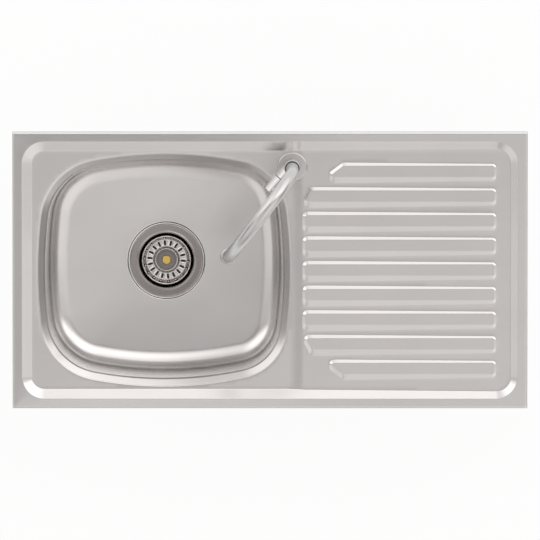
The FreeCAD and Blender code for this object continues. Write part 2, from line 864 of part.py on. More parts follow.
def make_basket_plug():
    """Rubber plug that closes the cup's holes when the basket is down."""
    points = [
        (pin_radius + thread_gap, plug_bottom_z + plug_pocket_depth),
        (plug_pocket_radius, plug_bottom_z + plug_pocket_depth),
        (plug_pocket_radius, plug_bottom_z),
        (plug_radius - 1.5, plug_bottom_z),
        (plug_radius, plug_bottom_z + 1.5),
        (plug_radius, basket_under_z - 0.8),
        (plug_radius - 0.8, basket_under_z),
        (basket_hub_radius + 1.8, basket_under_z),
        (basket_hub_radius - 0.6, hub_under_z),
        (pin_radius + thread_gap, hub_under_z),
    ]
    return turned(points, drain_x, drain_y)


def make_plug_nut():
    """Nut on the basket pin, sunk into the plug."""
    top_z = plug_bottom_z + plug_pocket_depth
    nut = hexagon(plug_nut_flats, top_z - plug_nut_height, top_z, drain_x, drain_y)
    return nut.cut(upright(pin_radius + thread_gap, top_z - 10, top_z + 1, drain_x, drain_y))


# ---- Pieces under the top ----


def along_drainer(shape):
    """Tilt a shape that was made flat under the deck so that it lies against the drainboard."""
    tilted = shape.copy()
    pivot = Vector(drainer_start_x, 0, deck_under_z)
    tilted.rotate(pivot, Vector(0, -1, 0), math.degrees(math.atan(drainer_rise)))
    return tilted


def make_bowl_pads():
    """Two sound pads under the bowl's floor, either side of the waste."""
    top_z = floor_z - bowl_sheet
    pads = []
    for side in (-1, 1):
        near_x = drain_x + side * (recess_radius + 2 * recess_bend_radius + bowl_pad_gap)
        far_x = near_x + side * bowl_pad_length
        low = (min(near_x, far_x), drain_y - bowl_pad_width / 2, top_z - pad_thickness)
        high = (max(near_x, far_x), drain_y + bowl_pad_width / 2, top_z)
        pads.append(box_between(low, high))
    return Part.makeCompound(pads)


def make_drainer_pad():
    """Sound pad under the drainboard, across the ribs."""
    low = (drainer_pad_x, -drainer_pad_width / 2, deck_under_z - pad_thickness)
    high = (drainer_pad_x + drainer_pad_length, drainer_pad_width / 2, deck_under_z)
    return along_drainer(box_between(low, high))


def make_stiffener():
    """Hat-section channel across the underside of the drainboard."""
    half_top = stiffener_top_width / 2
    half_foot = half_top + stiffener_flange
    low_z = deck_under_z - stiffener_depth
    sheet = stiffener_sheet
    profile = [
        (-half_foot, deck_under_z),
        (-half_foot, deck_under_z - sheet),
        (-half_top, deck_under_z - sheet),
        (-half_top, low_z),
        (half_top, low_z),
        (half_top, deck_under_z - sheet),
        (half_foot, deck_under_z - sheet),
        (half_foot, deck_under_z),
        (half_top - sheet, deck_under_z),
        (half_top - sheet, low_z + sheet),
        (-half_top + sheet, low_z + sheet),
        (-half_top + sheet, deck_under_z),
    ]
    points = [Vector(stiffener_x + x, -stiffener_length / 2, z) for x, z in profile]
    channel = Part.Face(Part.makePolygon(points + points[:1])).extrude(Vector(0, stiffener_length, 0))
    return along_drainer(channel)


def make_retaining_clips():
    """Clips over the folded rim's return flange, each with a screw hole for the cabinet."""
    clips = []
    inner_y = overall_depth / 2 - return_width
    for row in range(clip_rows):
        x = (row - (clip_rows - 1) / 2) * clip_side_spacing
        leg_y = inner_y - 0.3 - clip_sheet
        tongue = box_between(
            (x - clip_width / 2, leg_y, deck_sheet),
            (x + clip_width / 2, inner_y + clip_grip, deck_sheet + clip_sheet),
        )
        leg = box_between(
            (x - clip_width / 2, leg_y, -clip_drop),
            (x + clip_width / 2, leg_y + clip_sheet, deck_sheet + clip_sheet),
        )
        hole_start = Vector(x, leg_y - clip_sheet, -clip_hole_drop)
        hole = Part.makeCylinder(clip_hole_radius, 3 * clip_sheet, hole_start, Vector(0, 1, 0))
        back = tongue.fuse(leg).cut(hole).removeSplitter()
        clips.append(back)
        clips.append(back.mirror(Vector(0, 0, 0), Vector(0, 1, 0)))
    return Part.makeCompound(clips)


# ---- Tap ----


def on_handle(shape):
    """Turn a shape built along +X about the tap's middle into the handle's place."""
    placed = shape.copy()
    placed.rotate(Vector(0, 0, 0), UP, handle_yaw)
    placed.translate(Vector(tap_x, tap_y, handle_z))
    return placed


def tap_ring(inner, outer, low_z, high_z):
    """Flat ring about the tap's upright axis."""
    hole = upright(inner, low_z - 1, high_z + 1, tap_x, tap_y)
    return upright(outer, low_z, high_z, tap_x, tap_y).cut(hole)


base_bottom_z = deck_z + base_gasket_height
foot_bottom_z = deck_z - spigot_length
foot_top_z = base_bottom_z + foot_height


def at_stud(radius, low_z, high_z):
    """Upright cylinder on the mounting stud's axis."""
    return upright(radius, low_z, high_z, tap_x, tap_y + stud_offset_y)


def make_base_ring():
    """Round cover at the tap's foot."""
    top_z = base_bottom_z + base_ring_height
    bore = column_radius + running_gap
    points = [
        (base_ring_radius, base_bottom_z),
        (base_ring_radius, top_z - base_ring_edge),
        (base_ring_radius - base_ring_edge, top_z),
        (bore, top_z),
        (bore, top_z - base_ring_cover),
        (foot_radius + running_gap, top_z - base_ring_cover),
        (foot_radius + running_gap, base_bottom_z),
    ]
    return turned(points, tap_x, tap_y)


def make_tap_body():
    """Brass casting: foot, column, side barrel and water ways."""
    foot = upright(foot_radius, foot_bottom_z, foot_top_z, tap_x, tap_y)
    column = upright(column_radius, foot_bottom_z, column_top_z, tap_x, tap_y)
    column = column.makeChamfer(column_edge, edges_where(column, at_height(column_top_z)))
    barrel = on_handle(bar_along_x(barrel_radius, 0.0, barrel_length))
    body = column.fuse([foot, barrel])
    chamber_radius = cartridge_radius + running_gap
    chamber_start = cartridge_start - cartridge_seal_height
    cuts = [on_handle(bar_along_x(chamber_radius, chamber_start, barrel_length + 1))]
    cuts.append(upright(spout_radius + running_gap, socket_floor_z, column_top_z + 1, tap_x, tap_y))
    seat_z = column_top_z - glide_ring_recess - glide_ring_height
    cuts.append(upright(glide_seat_radius, seat_z, column_top_z + 1, tap_x, tap_y))
    cuts.append(upright(spout_feed_radius, handle_z, column_top_z, tap_x, tap_y))
    for side in (-1, 1):
        x = tap_x + side * inlet_offset_x
        y = tap_y + inlet_offset_y
        cuts.append(upright(inlet_radius, foot_bottom_z - 1, foot_bottom_z + inlet_depth, x, y))
        cuts.append(upright(passage_radius, foot_bottom_z + inlet_depth - 1, handle_z, x, y))
    cuts.append(at_stud(stud_radius + thread_gap, foot_bottom_z - 1, foot_bottom_z + stud_grip))
    for cutter in cuts:
        body = body.cut(cutter)
    return body.removeSplitter()


def horseshoe(low_z, high_z):
    """Clamp plate under the deck: round, open to the front for the hoses, holed for the stud."""
    plate = upright(clamp_radius, low_z, high_z, tap_x, tap_y)
    slot_low = (tap_x - clamp_slot_half_width, tap_y - clamp_radius - 1, low_z - 1)
    slot_high = (tap_x + clamp_slot_half_width, tap_y + clamp_slot_end_y, high_z + 1)
    hole = at_stud(stud_radius + 3 * running_gap, low_z - 1, high_z + 1)
    return plate.cut(box_between(slot_low, slot_high)).cut(hole)


clamp_rubber_z = deck_under_z - clamp_rubber_height
clamp_plate_z = clamp_rubber_z - clamp_plate_height


def make_clamp_nut():
    """Nut that pulls the tap down on the deck."""
    low_z = clamp_plate_z - clamp_nut_height
    nut = hexagon(clamp_nut_flats, low_z, clamp_plate_z, tap_x, tap_y + stud_offset_y)
    return nut.cut(at_stud(stud_radius + thread_gap, low_z - 1, clamp_plate_z + 1))


def make_mounting_stud():
    """Threaded stud from the tap's foot down through the deck."""
    top_z = foot_bottom_z + stud_grip - 0.5
    return at_stud(stud_radius, top_z - stud_length, top_z)


# ---- Cartridge and lever, built along the handle's axis ----


def bar_across(radius, length):
    """Round bar on the tilt axis, which crosses the handle's axis level."""
    return Part.makeCylinder(radius, length, Vector(tilt_axis_offset, -length / 2, 0), Vector(0, 1, 0))


def make_cartridge():
    """Ceramic cartridge inside the barrel."""
    body = bar_along_x(cartridge_radius, cartridge_start, cartridge_end)
    pocket_start = cartridge_end - carrier_pocket_depth
    pocket = bar_along_x(carrier_radius + carrier_gap, pocket_start, cartridge_end + 1)
    ports = []
    for angle in (90, 210, 330):
        turn = math.radians(angle)
        across = port_circle * math.sin(turn)
        spot = Vector(cartridge_start - 1, across, port_circle * math.cos(turn))
        ports.append(Part.makeCylinder(port_radius, port_depth + 1, spot, Vector(1, 0, 0)))
    return on_handle(body.cut([pocket] + ports))


def make_cartridge_seal():
    """Flat seal behind the cartridge."""
    start = cartridge_start - cartridge_seal_height
    return on_handle(bar_along_x(cartridge_radius, start, cartridge_start, cartridge_seal_bore))


def make_cartridge_nut():
    """Ring nut that holds the cartridge in the barrel."""
    bore = carrier_radius + carrier_gap
    reach = 2 * cartridge_radius
    half_notch = cartridge_nut_notch / 2
    ring = bar_along_x(cartridge_radius, cartridge_end, cartridge_nut_end, bore)
    for angle in (0, 60, 120):
        notch_low = (barrel_length, -reach, -half_notch)
        notch = box_between(notch_low, (cartridge_nut_end + 1, reach, half_notch))
        notch.rotate(Vector(0, 0, 0), Vector(1, 0, 0), angle)
        ring = ring.cut(notch)
    return on_handle(ring)


def make_cartridge_carrier():
    """Turning head of the cartridge; the spindle tilts in its slot."""
    start = cartridge_end - carrier_pocket_depth + carrier_gap
    carrier = bar_along_x(carrier_radius, start, carrier_end)
    slot_half_width = spindle_radius + running_gap
    slot = box_between(
        (spindle_start - 0.8, -slot_half_width, -carrier_slot_half_height),
        (carrier_end + 1, slot_half_width, carrier_slot_half_height),
    )
    pin_hole = bar_across(tilt_pin_radius + thread_gap, 2 * carrier_radius)
    return on_handle(carrier.cut(slot).cut(pin_hole))


def make_tilt_pin():
    """Cross pin on which the spindle tilts."""
    length = 2 * (carrier_radius - 0.6)
    return on_handle(bar_across(tilt_pin_radius, length))


def make_spindle():
    """Spindle between the cartridge and the cap."""
    spindle = bar_along_x(spindle_radius, spindle_start, spindle_end)
    return on_handle(spindle.cut(bar_across(tilt_pin_radius + running_gap, 4 * spindle_radius)))


def make_handle_cap():
    """Round cap that turns and tilts on the spindle."""
    points = [
        (cap_start, cap_skirt_bore),
        (cap_start, cap_radius - cap_edge / 2),
        (cap_start + cap_edge / 2, cap_radius),
        (cap_end - cap_edge, cap_radius),
        (cap_end, cap_radius - cap_edge),
        (cap_end, 0),
        (spindle_end + 0.5, 0),
        (spindle_end + 0.5, spindle_radius + thread_gap),
        (cap_start + cap_skirt_depth, spindle_radius + thread_gap),
        (cap_start + cap_skirt_depth, cap_skirt_bore),
    ]
    cap = turned_along_x(points)
    spot_face = upright(lever_radius + running_gap, lever_seat_height, cap_radius + 1, lever_offset)
    stub_low = lever_seat_height - lever_stub_length
    stub_hole = upright(lever_stub_radius + thread_gap, stub_low - 0.5, cap_radius, lever_offset)
    grub_hole = upright(grub_radius + thread_gap, -cap_radius - 1, 0, grub_offset)
    return on_handle(cap.cut([spot_face, stub_hole, grub_hole]))


def make_lever_pin():
    """Round lever standing on the cap."""
    top = lever_seat_height + lever_length
    lever = upright(lever_radius, lever_seat_height, top, lever_offset)
    lever = lever.makeFillet(lever_tip_radius, edges_where(lever, at_height(top)))
    stub_low = lever_seat_height - lever_stub_length
    stub = upright(lever_stub_radius, stub_low, lever_seat_height, lever_offset)
    return on_handle(lever.fuse(stub).removeSplitter())


def make_grub_screw():
    """Socket screw that locks the cap on the spindle."""
    high = -spindle_radius
    screw = upright(grub_radius, high - grub_length, high, grub_offset)
    socket = hexagon(grub_radius, high - grub_length - 1, high - grub_length + 2.0, grub_offset, 0)
    return on_handle(screw.cut(socket))


# ---- Spout ----


def in_spout_place(shape):
    """Turn a shape built in the XZ plane about the tap's axis into the spout's place."""
    placed = shape.copy()
    placed.rotate(Vector(0, 0, 0), UP, spout_yaw)
    placed.translate(Vector(tap_x, tap_y, 0))
    return placed


def spout_end():
    """End point and direction of the spout's centre line, in its own XZ plane."""
    turn = math.radians(front_bend_deg)
    direction = Vector(math.cos(turn), 0, -math.sin(turn))
    x = rear_bend_radius + front_bend_radius * math.sin(turn)
    z = deck_z + riser_height + rear_bend_radius - front_bend_radius * (1 - math.cos(turn))
    return Vector(x, 0, z) + direction * spout_tail, direction


def rod_along_spout(radius):
    """Round rod along the spout's centre line: riser, two bends and a short tail."""
    riser_top = Vector(0, 0, deck_z + riser_height)
    riser = upright(radius, spout_bottom_z, riser_top.z)
    rear_disc = Part.Face(Part.Wire(Part.makeCircle(radius, riser_top, UP)))
    rear_centre = riser_top + Vector(rear_bend_radius, 0, 0)
    rear = rear_disc.revolve(rear_centre, Vector(0, 1, 0), 90)
    crown = riser_top + Vector(rear_bend_radius, 0, rear_bend_radius)
    crown_disc = Part.Face(Part.Wire(Part.makeCircle(radius, crown, Vector(1, 0, 0))))
    front = crown_disc.revolve(crown - Vector(0, 0, front_bend_radius), Vector(0, 1, 0), front_bend_deg)
    end, direction = spout_end()
    tail = Part.makeCylinder(radius, spout_tail, end - direction * spout_tail, direction)
    return riser.multiFuse([rear, front, tail])


def make_spout_tube():
    """Bent spout pipe."""
    return in_spout_place(rod_along_spout(spout_radius).cut(rod_along_spout(spout_radius - spout_wall)))


o_ring_centre = spout_radius - o_ring_section - running_gap / 2
spigot_bottom_z = socket_floor_z + 0.3


def o_ring_heights():
    """Heights of the spigot's sealing rings."""
    first = spigot_bottom_z + 2.6
    return [first + index * o_ring_pitch for index in range(o_ring_count)]


def make_spout_spigot():
    """Grooved end of the spout that turns in the tap's column."""
    neck_radius = spout_radius - spout_wall - thread_gap
    groove = o_ring_centre - o_ring_section
    half_groove = o_ring_section + 0.1
    neck_top_z = spout_bottom_z + spigot_neck_length
    points = [(spigot_bore_radius, spigot_bottom_z), (spout_radius, spigot_bottom_z)]
    for z in o_ring_heights():
        points += [(spout_radius, z - half_groove), (groove, z - half_groove)]
        points += [(groove, z + half_groove), (spout_radius, z + half_groove)]
    points += [(spout_radius, spout_bottom_z), (neck_radius, spout_bottom_z)]
    points += [(neck_radius, neck_top_z), (spigot_bore_radius, neck_top_z)]
    return turned(points, tap_x, tap_y)


def make_spout_o_rings():
    """Sealing rings in the spigot's grooves."""
    rings = []
    for z in o_ring_heights():
        rings.append(Part.makeTorus(o_ring_centre, o_ring_section, Vector(tap_x, tap_y, z), UP))
    return Part.makeCompound(rings)


def make_glide_ring():
    """Black plastic ring round the spout in the top of the column."""
    top_z = column_top_z - glide_ring_recess
    outer = glide_seat_radius - running_gap
    return tap_ring(spout_radius + running_gap, outer, top_z - glide_ring_height, top_z)


def at_spout_end(points):
    """Turned solid on the spout's end; points are (radius, distance past the end)."""
    end, direction = spout_end()
    solid = turned([(radius, -along) for radius, along in points])
    tilt = math.degrees(math.atan2(direction.x, -direction.z))
    solid.rotate(Vector(0, 0, 0), Vector(0, -1, 0), tilt)
    solid.translate(end)
    return in_spout_place(solid)


aerator_bottom = aerator_height - aerator_collar
insert_top = aerator_washer_height
insert_radius = aerator_insert_radius - running_gap


def make_aerator_housing():
    """Collar round the spout's end that holds the aerator."""
    points = [
        (spout_radius + thread_gap, -aerator_collar),
        (aerator_radius - aerator_edge, -aerator_collar),
        (aerator_radius, -aerator_collar + aerator_edge),
        (aerator_radius, aerator_bottom - aerator_edge),
        (aerator_radius - aerator_edge, aerator_bottom),
        (aerator_insert_radius - aerator_lip, aerator_bottom),
        (aerator_insert_radius - aerator_lip, aerator_bottom - aerator_lip),
        (aerator_insert_radius, aerator_bottom - aerator_lip),
        (aerator_insert_radius, 0),
        (spout_radius + thread_gap, 0),
    ]
    return at_spout_end(points)


def make_aerator_washer():
    """Rubber washer between the spout's end and the aerator insert."""
    inner = spout_radius - spout_wall
    outer = insert_radius
    return at_spout_end([(inner, 0), (outer, 0), (outer, insert_top), (inner, insert_top)])


def make_aerator_insert():
    """Plastic aerator insert with two circles of holes."""
    low = aerator_bottom - aerator_lip
    insert = at_spout_end([(0, insert_top), (insert_radius, insert_top), (insert_radius, low), (0, low)])
    end, direction = spout_end()
    holes = []
    for circle_index, circle in enumerate(aerator_hole_circles):
        count = 6 * (circle_index + 1)
        for index in range(count):
            angle = 2 * math.pi * index / count
            side = Vector(direction.z, 0, -direction.x) * math.cos(angle) * circle
            spot = end + side + Vector(0, circle * math.sin(angle), 0)
            start = spot - direction * aerator_height
            hole = Part.makeCylinder(aerator_hole_radius, 3 * aerator_height, start, direction)
            holes.append(in_spout_place(hole))
    return insert.cut(holes)


# ---- Every node ----


def build_nodes():
    """All the sink's pieces by name."""
    seat_gap_radius = flange_radius - 1.0
    return {
        "deck_panel": make_deck_panel(),
        "bowl": make_bowl(),
        "bowl_sound_pads": make_bowl_pads(),
        "drainer_sound_pad": make_drainer_pad(),
        "drainer_stiffener": make_stiffener(),
        "retaining_clips": make_retaining_clips(),
        "strainer_body": make_strainer_body(),
        "flange_gasket": waste_ring(drain_hole_radius, seat_gap_radius, recess_z, flange_under_z),
        "lower_gasket": waste_ring(drain_hole_radius, seat_gap_radius, housing_top_z, recess_under_z),
        "waste_housing": make_waste_housing(),
        "waste_screw": make_waste_screw(),
        "basket": make_basket(),
        "basket_knob": make_basket_knob(),
        "basket_pin": make_basket_pin(),
        "basket_plug": make_basket_plug(),
        "plug_nut": make_plug_nut(),
        "tap_base_ring": make_base_ring(),
        "tap_base_gasket": tap_ring(foot_radius + running_gap, base_gasket_radius, deck_z, base_bottom_z),
        "tap_body": make_tap_body(),
        "clamp_rubber": horseshoe(clamp_rubber_z, deck_under_z),
        "clamp_plate": horseshoe(clamp_plate_z, clamp_rubber_z),
        "clamp_nut": make_clamp_nut(),
        "mounting_stud": make_mounting_stud(),
        "cartridge": make_cartridge(),
        "cartridge_seal": make_cartridge_seal(),
        "cartridge_nut": make_cartridge_nut(),
        "cartridge_carrier": make_cartridge_carrier(),
        "tilt_pin": make_tilt_pin(),
        "spindle": make_spindle(),
        "handle_cap": make_handle_cap(),
        "lever_pin": make_lever_pin(),
        "grub_screw": make_grub_screw(),
        "spout_tube": make_spout_tube(),
        "spout_spigot": make_spout_spigot(),
        "spout_o_rings": make_spout_o_rings(),
        "glide_ring": make_glide_ring(),
        "aerator_housing": make_aerator_housing(),
        "aerator_washer": make_aerator_washer(),
        "aerator_insert": make_aerator_insert(),
    }


os.makedirs("parts", exist_ok=True)
for name, shape in build_nodes().items():
    shape.exportStep(os.path.join("parts", name + ".step"))
    print(name, "solids", len(shape.Solids), "valid", shape.isValid(), "volume", round(shape.Volume, 1))
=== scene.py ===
import json
import math

import bmesh
import bpy
import numpy as np
from bpy.props import FloatProperty, FloatVectorProperty, IntProperty, PointerProperty
from mathutils.geometry import delaunay_2d_cdt
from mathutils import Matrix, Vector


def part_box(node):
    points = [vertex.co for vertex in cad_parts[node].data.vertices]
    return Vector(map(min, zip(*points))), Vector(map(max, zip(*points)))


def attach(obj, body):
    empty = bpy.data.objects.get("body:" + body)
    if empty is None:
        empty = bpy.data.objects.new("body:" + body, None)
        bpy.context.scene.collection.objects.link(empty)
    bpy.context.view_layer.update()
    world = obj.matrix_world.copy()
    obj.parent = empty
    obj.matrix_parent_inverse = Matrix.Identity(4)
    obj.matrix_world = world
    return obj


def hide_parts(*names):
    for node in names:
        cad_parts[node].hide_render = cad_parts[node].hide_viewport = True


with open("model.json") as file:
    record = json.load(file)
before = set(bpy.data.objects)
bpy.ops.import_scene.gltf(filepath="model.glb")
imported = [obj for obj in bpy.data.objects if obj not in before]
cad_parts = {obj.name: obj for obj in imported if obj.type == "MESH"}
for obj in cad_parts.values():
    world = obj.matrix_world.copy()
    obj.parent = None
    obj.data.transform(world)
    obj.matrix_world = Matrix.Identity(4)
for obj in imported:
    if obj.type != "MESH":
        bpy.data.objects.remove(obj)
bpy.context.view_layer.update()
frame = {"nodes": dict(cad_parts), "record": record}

bl_info = {
    "name": "Kitchen sink with drainboard",
    "version": (1, 0, 0),
    "blender": (4, 5, 0),
    "location": "3D View > Sidebar > Sink",
    "description": "Builds a steel kitchen sink with its drainboard, basket waste and swan-neck tap",
    "category": "Add Mesh",
}

MM = 0.001


def middle_of(node):
    """Middle of a CAD node's box."""
    low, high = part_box(node)
    return (np.array(low) + np.array(high)) / 2


def height_range(node):
    """Lowest and highest place of a CAD node."""
    return tuple(corner.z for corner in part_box(node))


UP = np.array([0, 0, 1.0])
DECK_HEIGHT = height_range("tap_base_gasket")[0]
TAP_AXIS = middle_of("tap_base_ring")[:2]
DRAIN_AXIS = middle_of("waste_screw")[:2]
COLUMN_TOP = height_range("glide_ring")[1] + 0.6 * MM


# ---- Sizes and finishes that a user would change ----


def length_property(name, description, default):
    """A length in metres."""
    return FloatProperty(
        name=name,
        description=description,
        default=default,
        unit="LENGTH",
        subtype="DISTANCE",
        precision=5,
    )


def angle_property(name, description, degrees):
    """An angle, given here in degrees."""
    turn = math.radians(degrees)
    return FloatProperty(
        name=name, description=description, default=turn, unit="ROTATION", subtype="ANGLE"
    )


def colour_property(name, description, default):
    """A colour."""
    return FloatVectorProperty(
        name=name, description=description, default=default, subtype="COLOR", size=3, min=0, max=1
    )


class SinkTopSizes(bpy.types.PropertyGroup):
    """Sizes of the pressed top."""

    half_length: length_property("Half length", "Half of the top's length", 0.4)
    half_depth: length_property("Half depth", "Half of the top's depth", 0.215)
    rim_height: length_property("Rim height", "Height of the folded rim", 0.028)
    sheet: length_property("Sheet", "Thickness of the steel", 0.0008)
    fold_radius: length_property("Fold radius", "Radius of the rim's outer edge", 0.003)
    return_width: length_property("Return", "Width of the flange folded in under the rim", 0.014)
    rim_width: length_property("Rim width", "Width of the flat rim", 0.0155)
    corner_radius: length_property("Corner radius", "Radius of the sunken deck's corners", 0.034)
    bend_radius: length_property("Bend radius", "Radius of the step's bends", 0.002)
    step_slope: angle_property("Step slope", "Steepness of the step", 30.0)
    depth: length_property("Deck depth", "Depth of the deck under the rim", 0.0082)
    end_depth: length_property("End depth", "Depth of the drainboard's far end under the rim", 0.0059)
    drainer_start: length_property("Drainer start", "Where the drainboard starts to rise", 0.060)
    lead_start: length_property("Lead start", "Where the short slope beside the bowl starts", 0.037)
    lead_end: length_property("Lead end", "Where the short slope beside the bowl ends", 0.050)
    lead_rise: length_property("Lead rise", "Rise of the short slope beside the bowl", 0.0008)
    rim_droop: length_property("Rim droop", "How far the left part of the rim droops outward", 0.0009)
    mouth_edge: length_property("Mouth edge", "Radius of the edge round the bowl's mouth", 0.0022)
    mouth_slope: angle_property("Mouth slope", "How far the mouth's edge bends down", 50.0)


class SinkRibSizes(bpy.types.PropertyGroup):
    """Sizes of the drainboard's ribs."""

    count: IntProperty(name="Count", description="Number of ribs", default=9, min=1)
    pitch: length_property("Pitch", "Distance from rib to rib", 0.0383)
    width: length_property("Width", "Width of a rib's flat top", 0.0185)
    start: length_property("Start", "Left end of the middle ribs", 0.055)
    end: length_property("End", "Right end of the ribs", 0.3486)
    end_height: length_property("End height", "Height of a rib over the deck at its right end", 0.0015)
    corner_radius: length_property("Corner radius", "Radius of a rib's corners", 0.0035)
    side_slope: angle_property("Side slope", "Steepness of a rib's sides", 31.0)
    edge_radius: length_property("Edge radius", "Radius of a rib's long edges", 0.0012)
    stretch: FloatProperty(
        name="Stretch",
        description="How much longer the front slope is than the others",
        default=0.9,
        min=0,
    )


class SinkBowlSizes(bpy.types.PropertyGroup):
    """Sizes of the bowl."""

    centre_x: length_property("Centre X", "Middle of the bowl along the sink", -0.1645)
    centre_y: length_property("Centre Y", "Middle of the bowl across the sink", 0.0005)
    length: length_property("Length", "Length of the mouth", 0.393)
    width: length_property("Width", "Width of the mouth", 0.361)
    depth: length_property("Depth", "Depth from deck to floor", 0.150)
    long_side_radius: length_property("Long sides", "Radius of the front and back sides", 0.590)
    end_side_radius: length_property("End sides", "Radius of the left and right sides", 0.700)
    left_corner: length_property("Left corners", "Radius of the left corners", 0.100)
    right_corner: length_property("Right corners", "Radius of the right corners", 0.084)
    lip: length_property("Lip", "Width of the lip under the deck", 0.004)
    edge_radius: length_property("Edge radius", "Radius at the top of the shoulder", 0.0015)
    shoulder_slope: angle_property("Shoulder slope", "Steepness of the shoulder", 41.0)
    shoulder_length: length_property("Shoulder", "Length of the straight shoulder", 0.010)
    shoulder_radius: length_property("Shoulder radius", "Radius between shoulder and wall", 0.010)
    wall_slope: angle_property("Wall slope", "Steepness of the wall", 88.0)
    floor_radius: length_property("Floor radius", "Radius between wall and floor", 0.030)
    dish: length_property("Dish", "How much lower the floor is at the waste than at its edge", 0.0022)
    seat_radius: length_property("Seat radius", "Radius of the recess for the waste", 0.0595)
    seat_bend: length_property("Seat bend", "Radius of the recess's bends", 0.0016)
    seat_depth: length_property("Seat depth", "Depth of the recess for the waste", 0.0024)
    hole_radius: length_property("Hole radius", "Radius of the waste's hole", 0.046)


class SinkWasteSizes(bpy.types.PropertyGroup):
    """Sizes of the basket waste."""

    flange_radius: length_property("Flange radius", "Outer radius of the steel flange", 0.057)
    lip_radius: length_property("Lip radius", "Radius of the flange's raised lip", 0.0444)
    cup_radius: length_property("Cup radius", "Inner radius of the cup", 0.0427)
    rim_radius: length_property("Basket rim", "Outer radius of the basket's rim", 0.0384)
    throat_radius: length_property("Basket throat", "Radius of the basket under its rim", 0.0364)
    floor_radius: length_property("Basket floor", "Radius of the basket's floor", 0.0316)
    slot_count: IntProperty(name="Slots", description="Number of slots in the basket", default=18, min=3)
    slot_inner: length_property("Slot start", "Radius where the slots start", 0.0221)
    slot_outer: length_property("Slot end", "Radius where the slots end", 0.0306)
    slot_width: length_property("Slot width", "Width of a slot", 0.0030)
    slot_turn: angle_property("Slot turn", "Direction of the first slot", 95.3)
    nub_circle: length_property("Nub circle", "Radius of the circle of nubs", 0.0342)
    nub_radius: length_property("Nub", "Radius of a small nub on the basket's wall", 0.0013)
    hub_radius: length_property("Hub radius", "Radius of the raised hub", 0.0176)
    knob_radius: length_property("Knob radius", "Radius of the grey knob", 0.0165)
    pin_radius: length_property("Pin head", "Radius of the brass pin's head", 0.0071)


class SinkTapSizes(bpy.types.PropertyGroup):
    """Sizes of the tap."""

    ring_radius: length_property("Foot radius", "Radius of the round foot", 0.0225)
    ring_height: length_property("Foot height", "Height of the round foot", 0.005)
    column_radius: length_property("Column radius", "Radius of the column", 0.0126)
    barrel_radius: length_property("Barrel radius", "Radius of the side barrel", 0.012)
    barrel_length: length_property("Barrel length", "Barrel's end from the column's axis", 0.0249)
    handle_height: length_property("Handle height", "Height of the barrel's axis over the deck", 0.026)
    handle_yaw: angle_property("Handle direction", "Direction in which the barrel points", -130.5)
    cap_radius: length_property("Cap radius", "Radius of the handle's cap", 0.0143)
    cap_start: length_property("Cap start", "Near end of the cap", 0.0255)
    cap_end: length_property("Cap end", "Far end of the cap", 0.052)
    lever_offset: length_property("Lever place", "Lever's distance from the column's axis", 0.0435)
    lever_radius: length_property("Lever radius", "Radius of the lever", 0.0035)
    lever_base: length_property("Lever foot", "Lever's foot over the barrel's axis", 0.0138)
    lever_length: length_property("Lever length", "Length of the lever", 0.038)
    spout_radius: length_property("Spout radius", "Radius of the spout's pipe", 0.0095)
    spout_yaw: angle_property("Spout direction", "Direction in which the spout points", -127.2)
    riser: length_property("Riser", "Height over the deck where the spout starts to bend", 0.200)
    rear_radius: length_property("Rear bend", "Radius of the spout's first bend", 0.060)
    front_radius: length_property("Front bend", "Radius of the spout's second bend", 0.102)
    front_angle: angle_property("Front angle", "Angle of the spout's second bend", 80.0)
    tail: length_property("Tail", "Straight end of the spout", 0.014)
    aerator_radius: length_property("Aerator radius", "Radius of the collar at the spout's end", 0.012)
    aerator_collar: length_property("Aerator collar", "How far the collar reaches up the pipe", 0.008)
    aerator_height: length_property("Aerator height", "Height of the collar", 0.014)


class SinkFinishes(bpy.types.PropertyGroup):
    """Colours of the materials."""

    steel: colour_property("Steel", "Stainless steel of top and bowl", (0.705, 0.697, 0.69))
    waste_steel: colour_property("Basket steel", "Stainless steel of the basket", (0.76, 0.74, 0.72))
    # Painted highlight: the nubs' steel is a brighter copy of the basket's; part of their glint comes
    # from their raised shape.
    nub_steel_painted_highlight: colour_property("Nub steel", "Bright steel of the basket's nubs", (0.95, 0.94, 0.93))
    # Painted shade: the flange's steel is a darker copy of the top's satin steel.
    flange_steel_painted_shade: colour_property("Flange steel", "Turned steel of the flange", (0.34, 0.32, 0.31))
    chrome: colour_property("Chrome", "Chrome plate of the tap", (0.61, 0.605, 0.60))
    zinc: colour_property("Zinc", "Plated fixings", (0.58, 0.58, 0.56))
    galvanised: colour_property("Galvanised steel", "Stiffener and clips", (0.50, 0.51, 0.52))
    brass: colour_property("Brass", "Turned brass", (0.80, 0.57, 0.17))
    knob: colour_property("Knob", "Grey plastic of the basket's knob", (0.20, 0.19, 0.185))
    rubber: colour_property("Rubber", "Black rubber", (0.018, 0.018, 0.018))
    pad: colour_property("Pad", "Sound-deadening mat", (0.055, 0.055, 0.06))
    white_plastic: colour_property("White plastic", "Waste housing", (0.80, 0.80, 0.78))
    black_plastic: colour_property("Black plastic", "Glide ring and carrier", (0.03, 0.03, 0.03))
    pale_plastic: colour_property("Pale plastic", "Cartridge and aerator insert", (0.62, 0.61, 0.57))


class SinkStudio(bpy.types.PropertyGroup):
    """Camera, floor and light."""

    camera_distance: length_property("Camera distance", "Distance from camera to deck", 15.0)
    frame_width: length_property("Frame width", "Width seen at the deck", 0.8385)
    camera_tilt: angle_property("Camera tilt", "Tilt of the view towards the front", 3.55)
    floor_height: length_property("Floor", "Height of the floor under the rim", -0.2105)
    world_level: FloatProperty(
        name="Light", description="Level of the light from all round", default=1.12, min=0
    )


# ---- Meshes ----


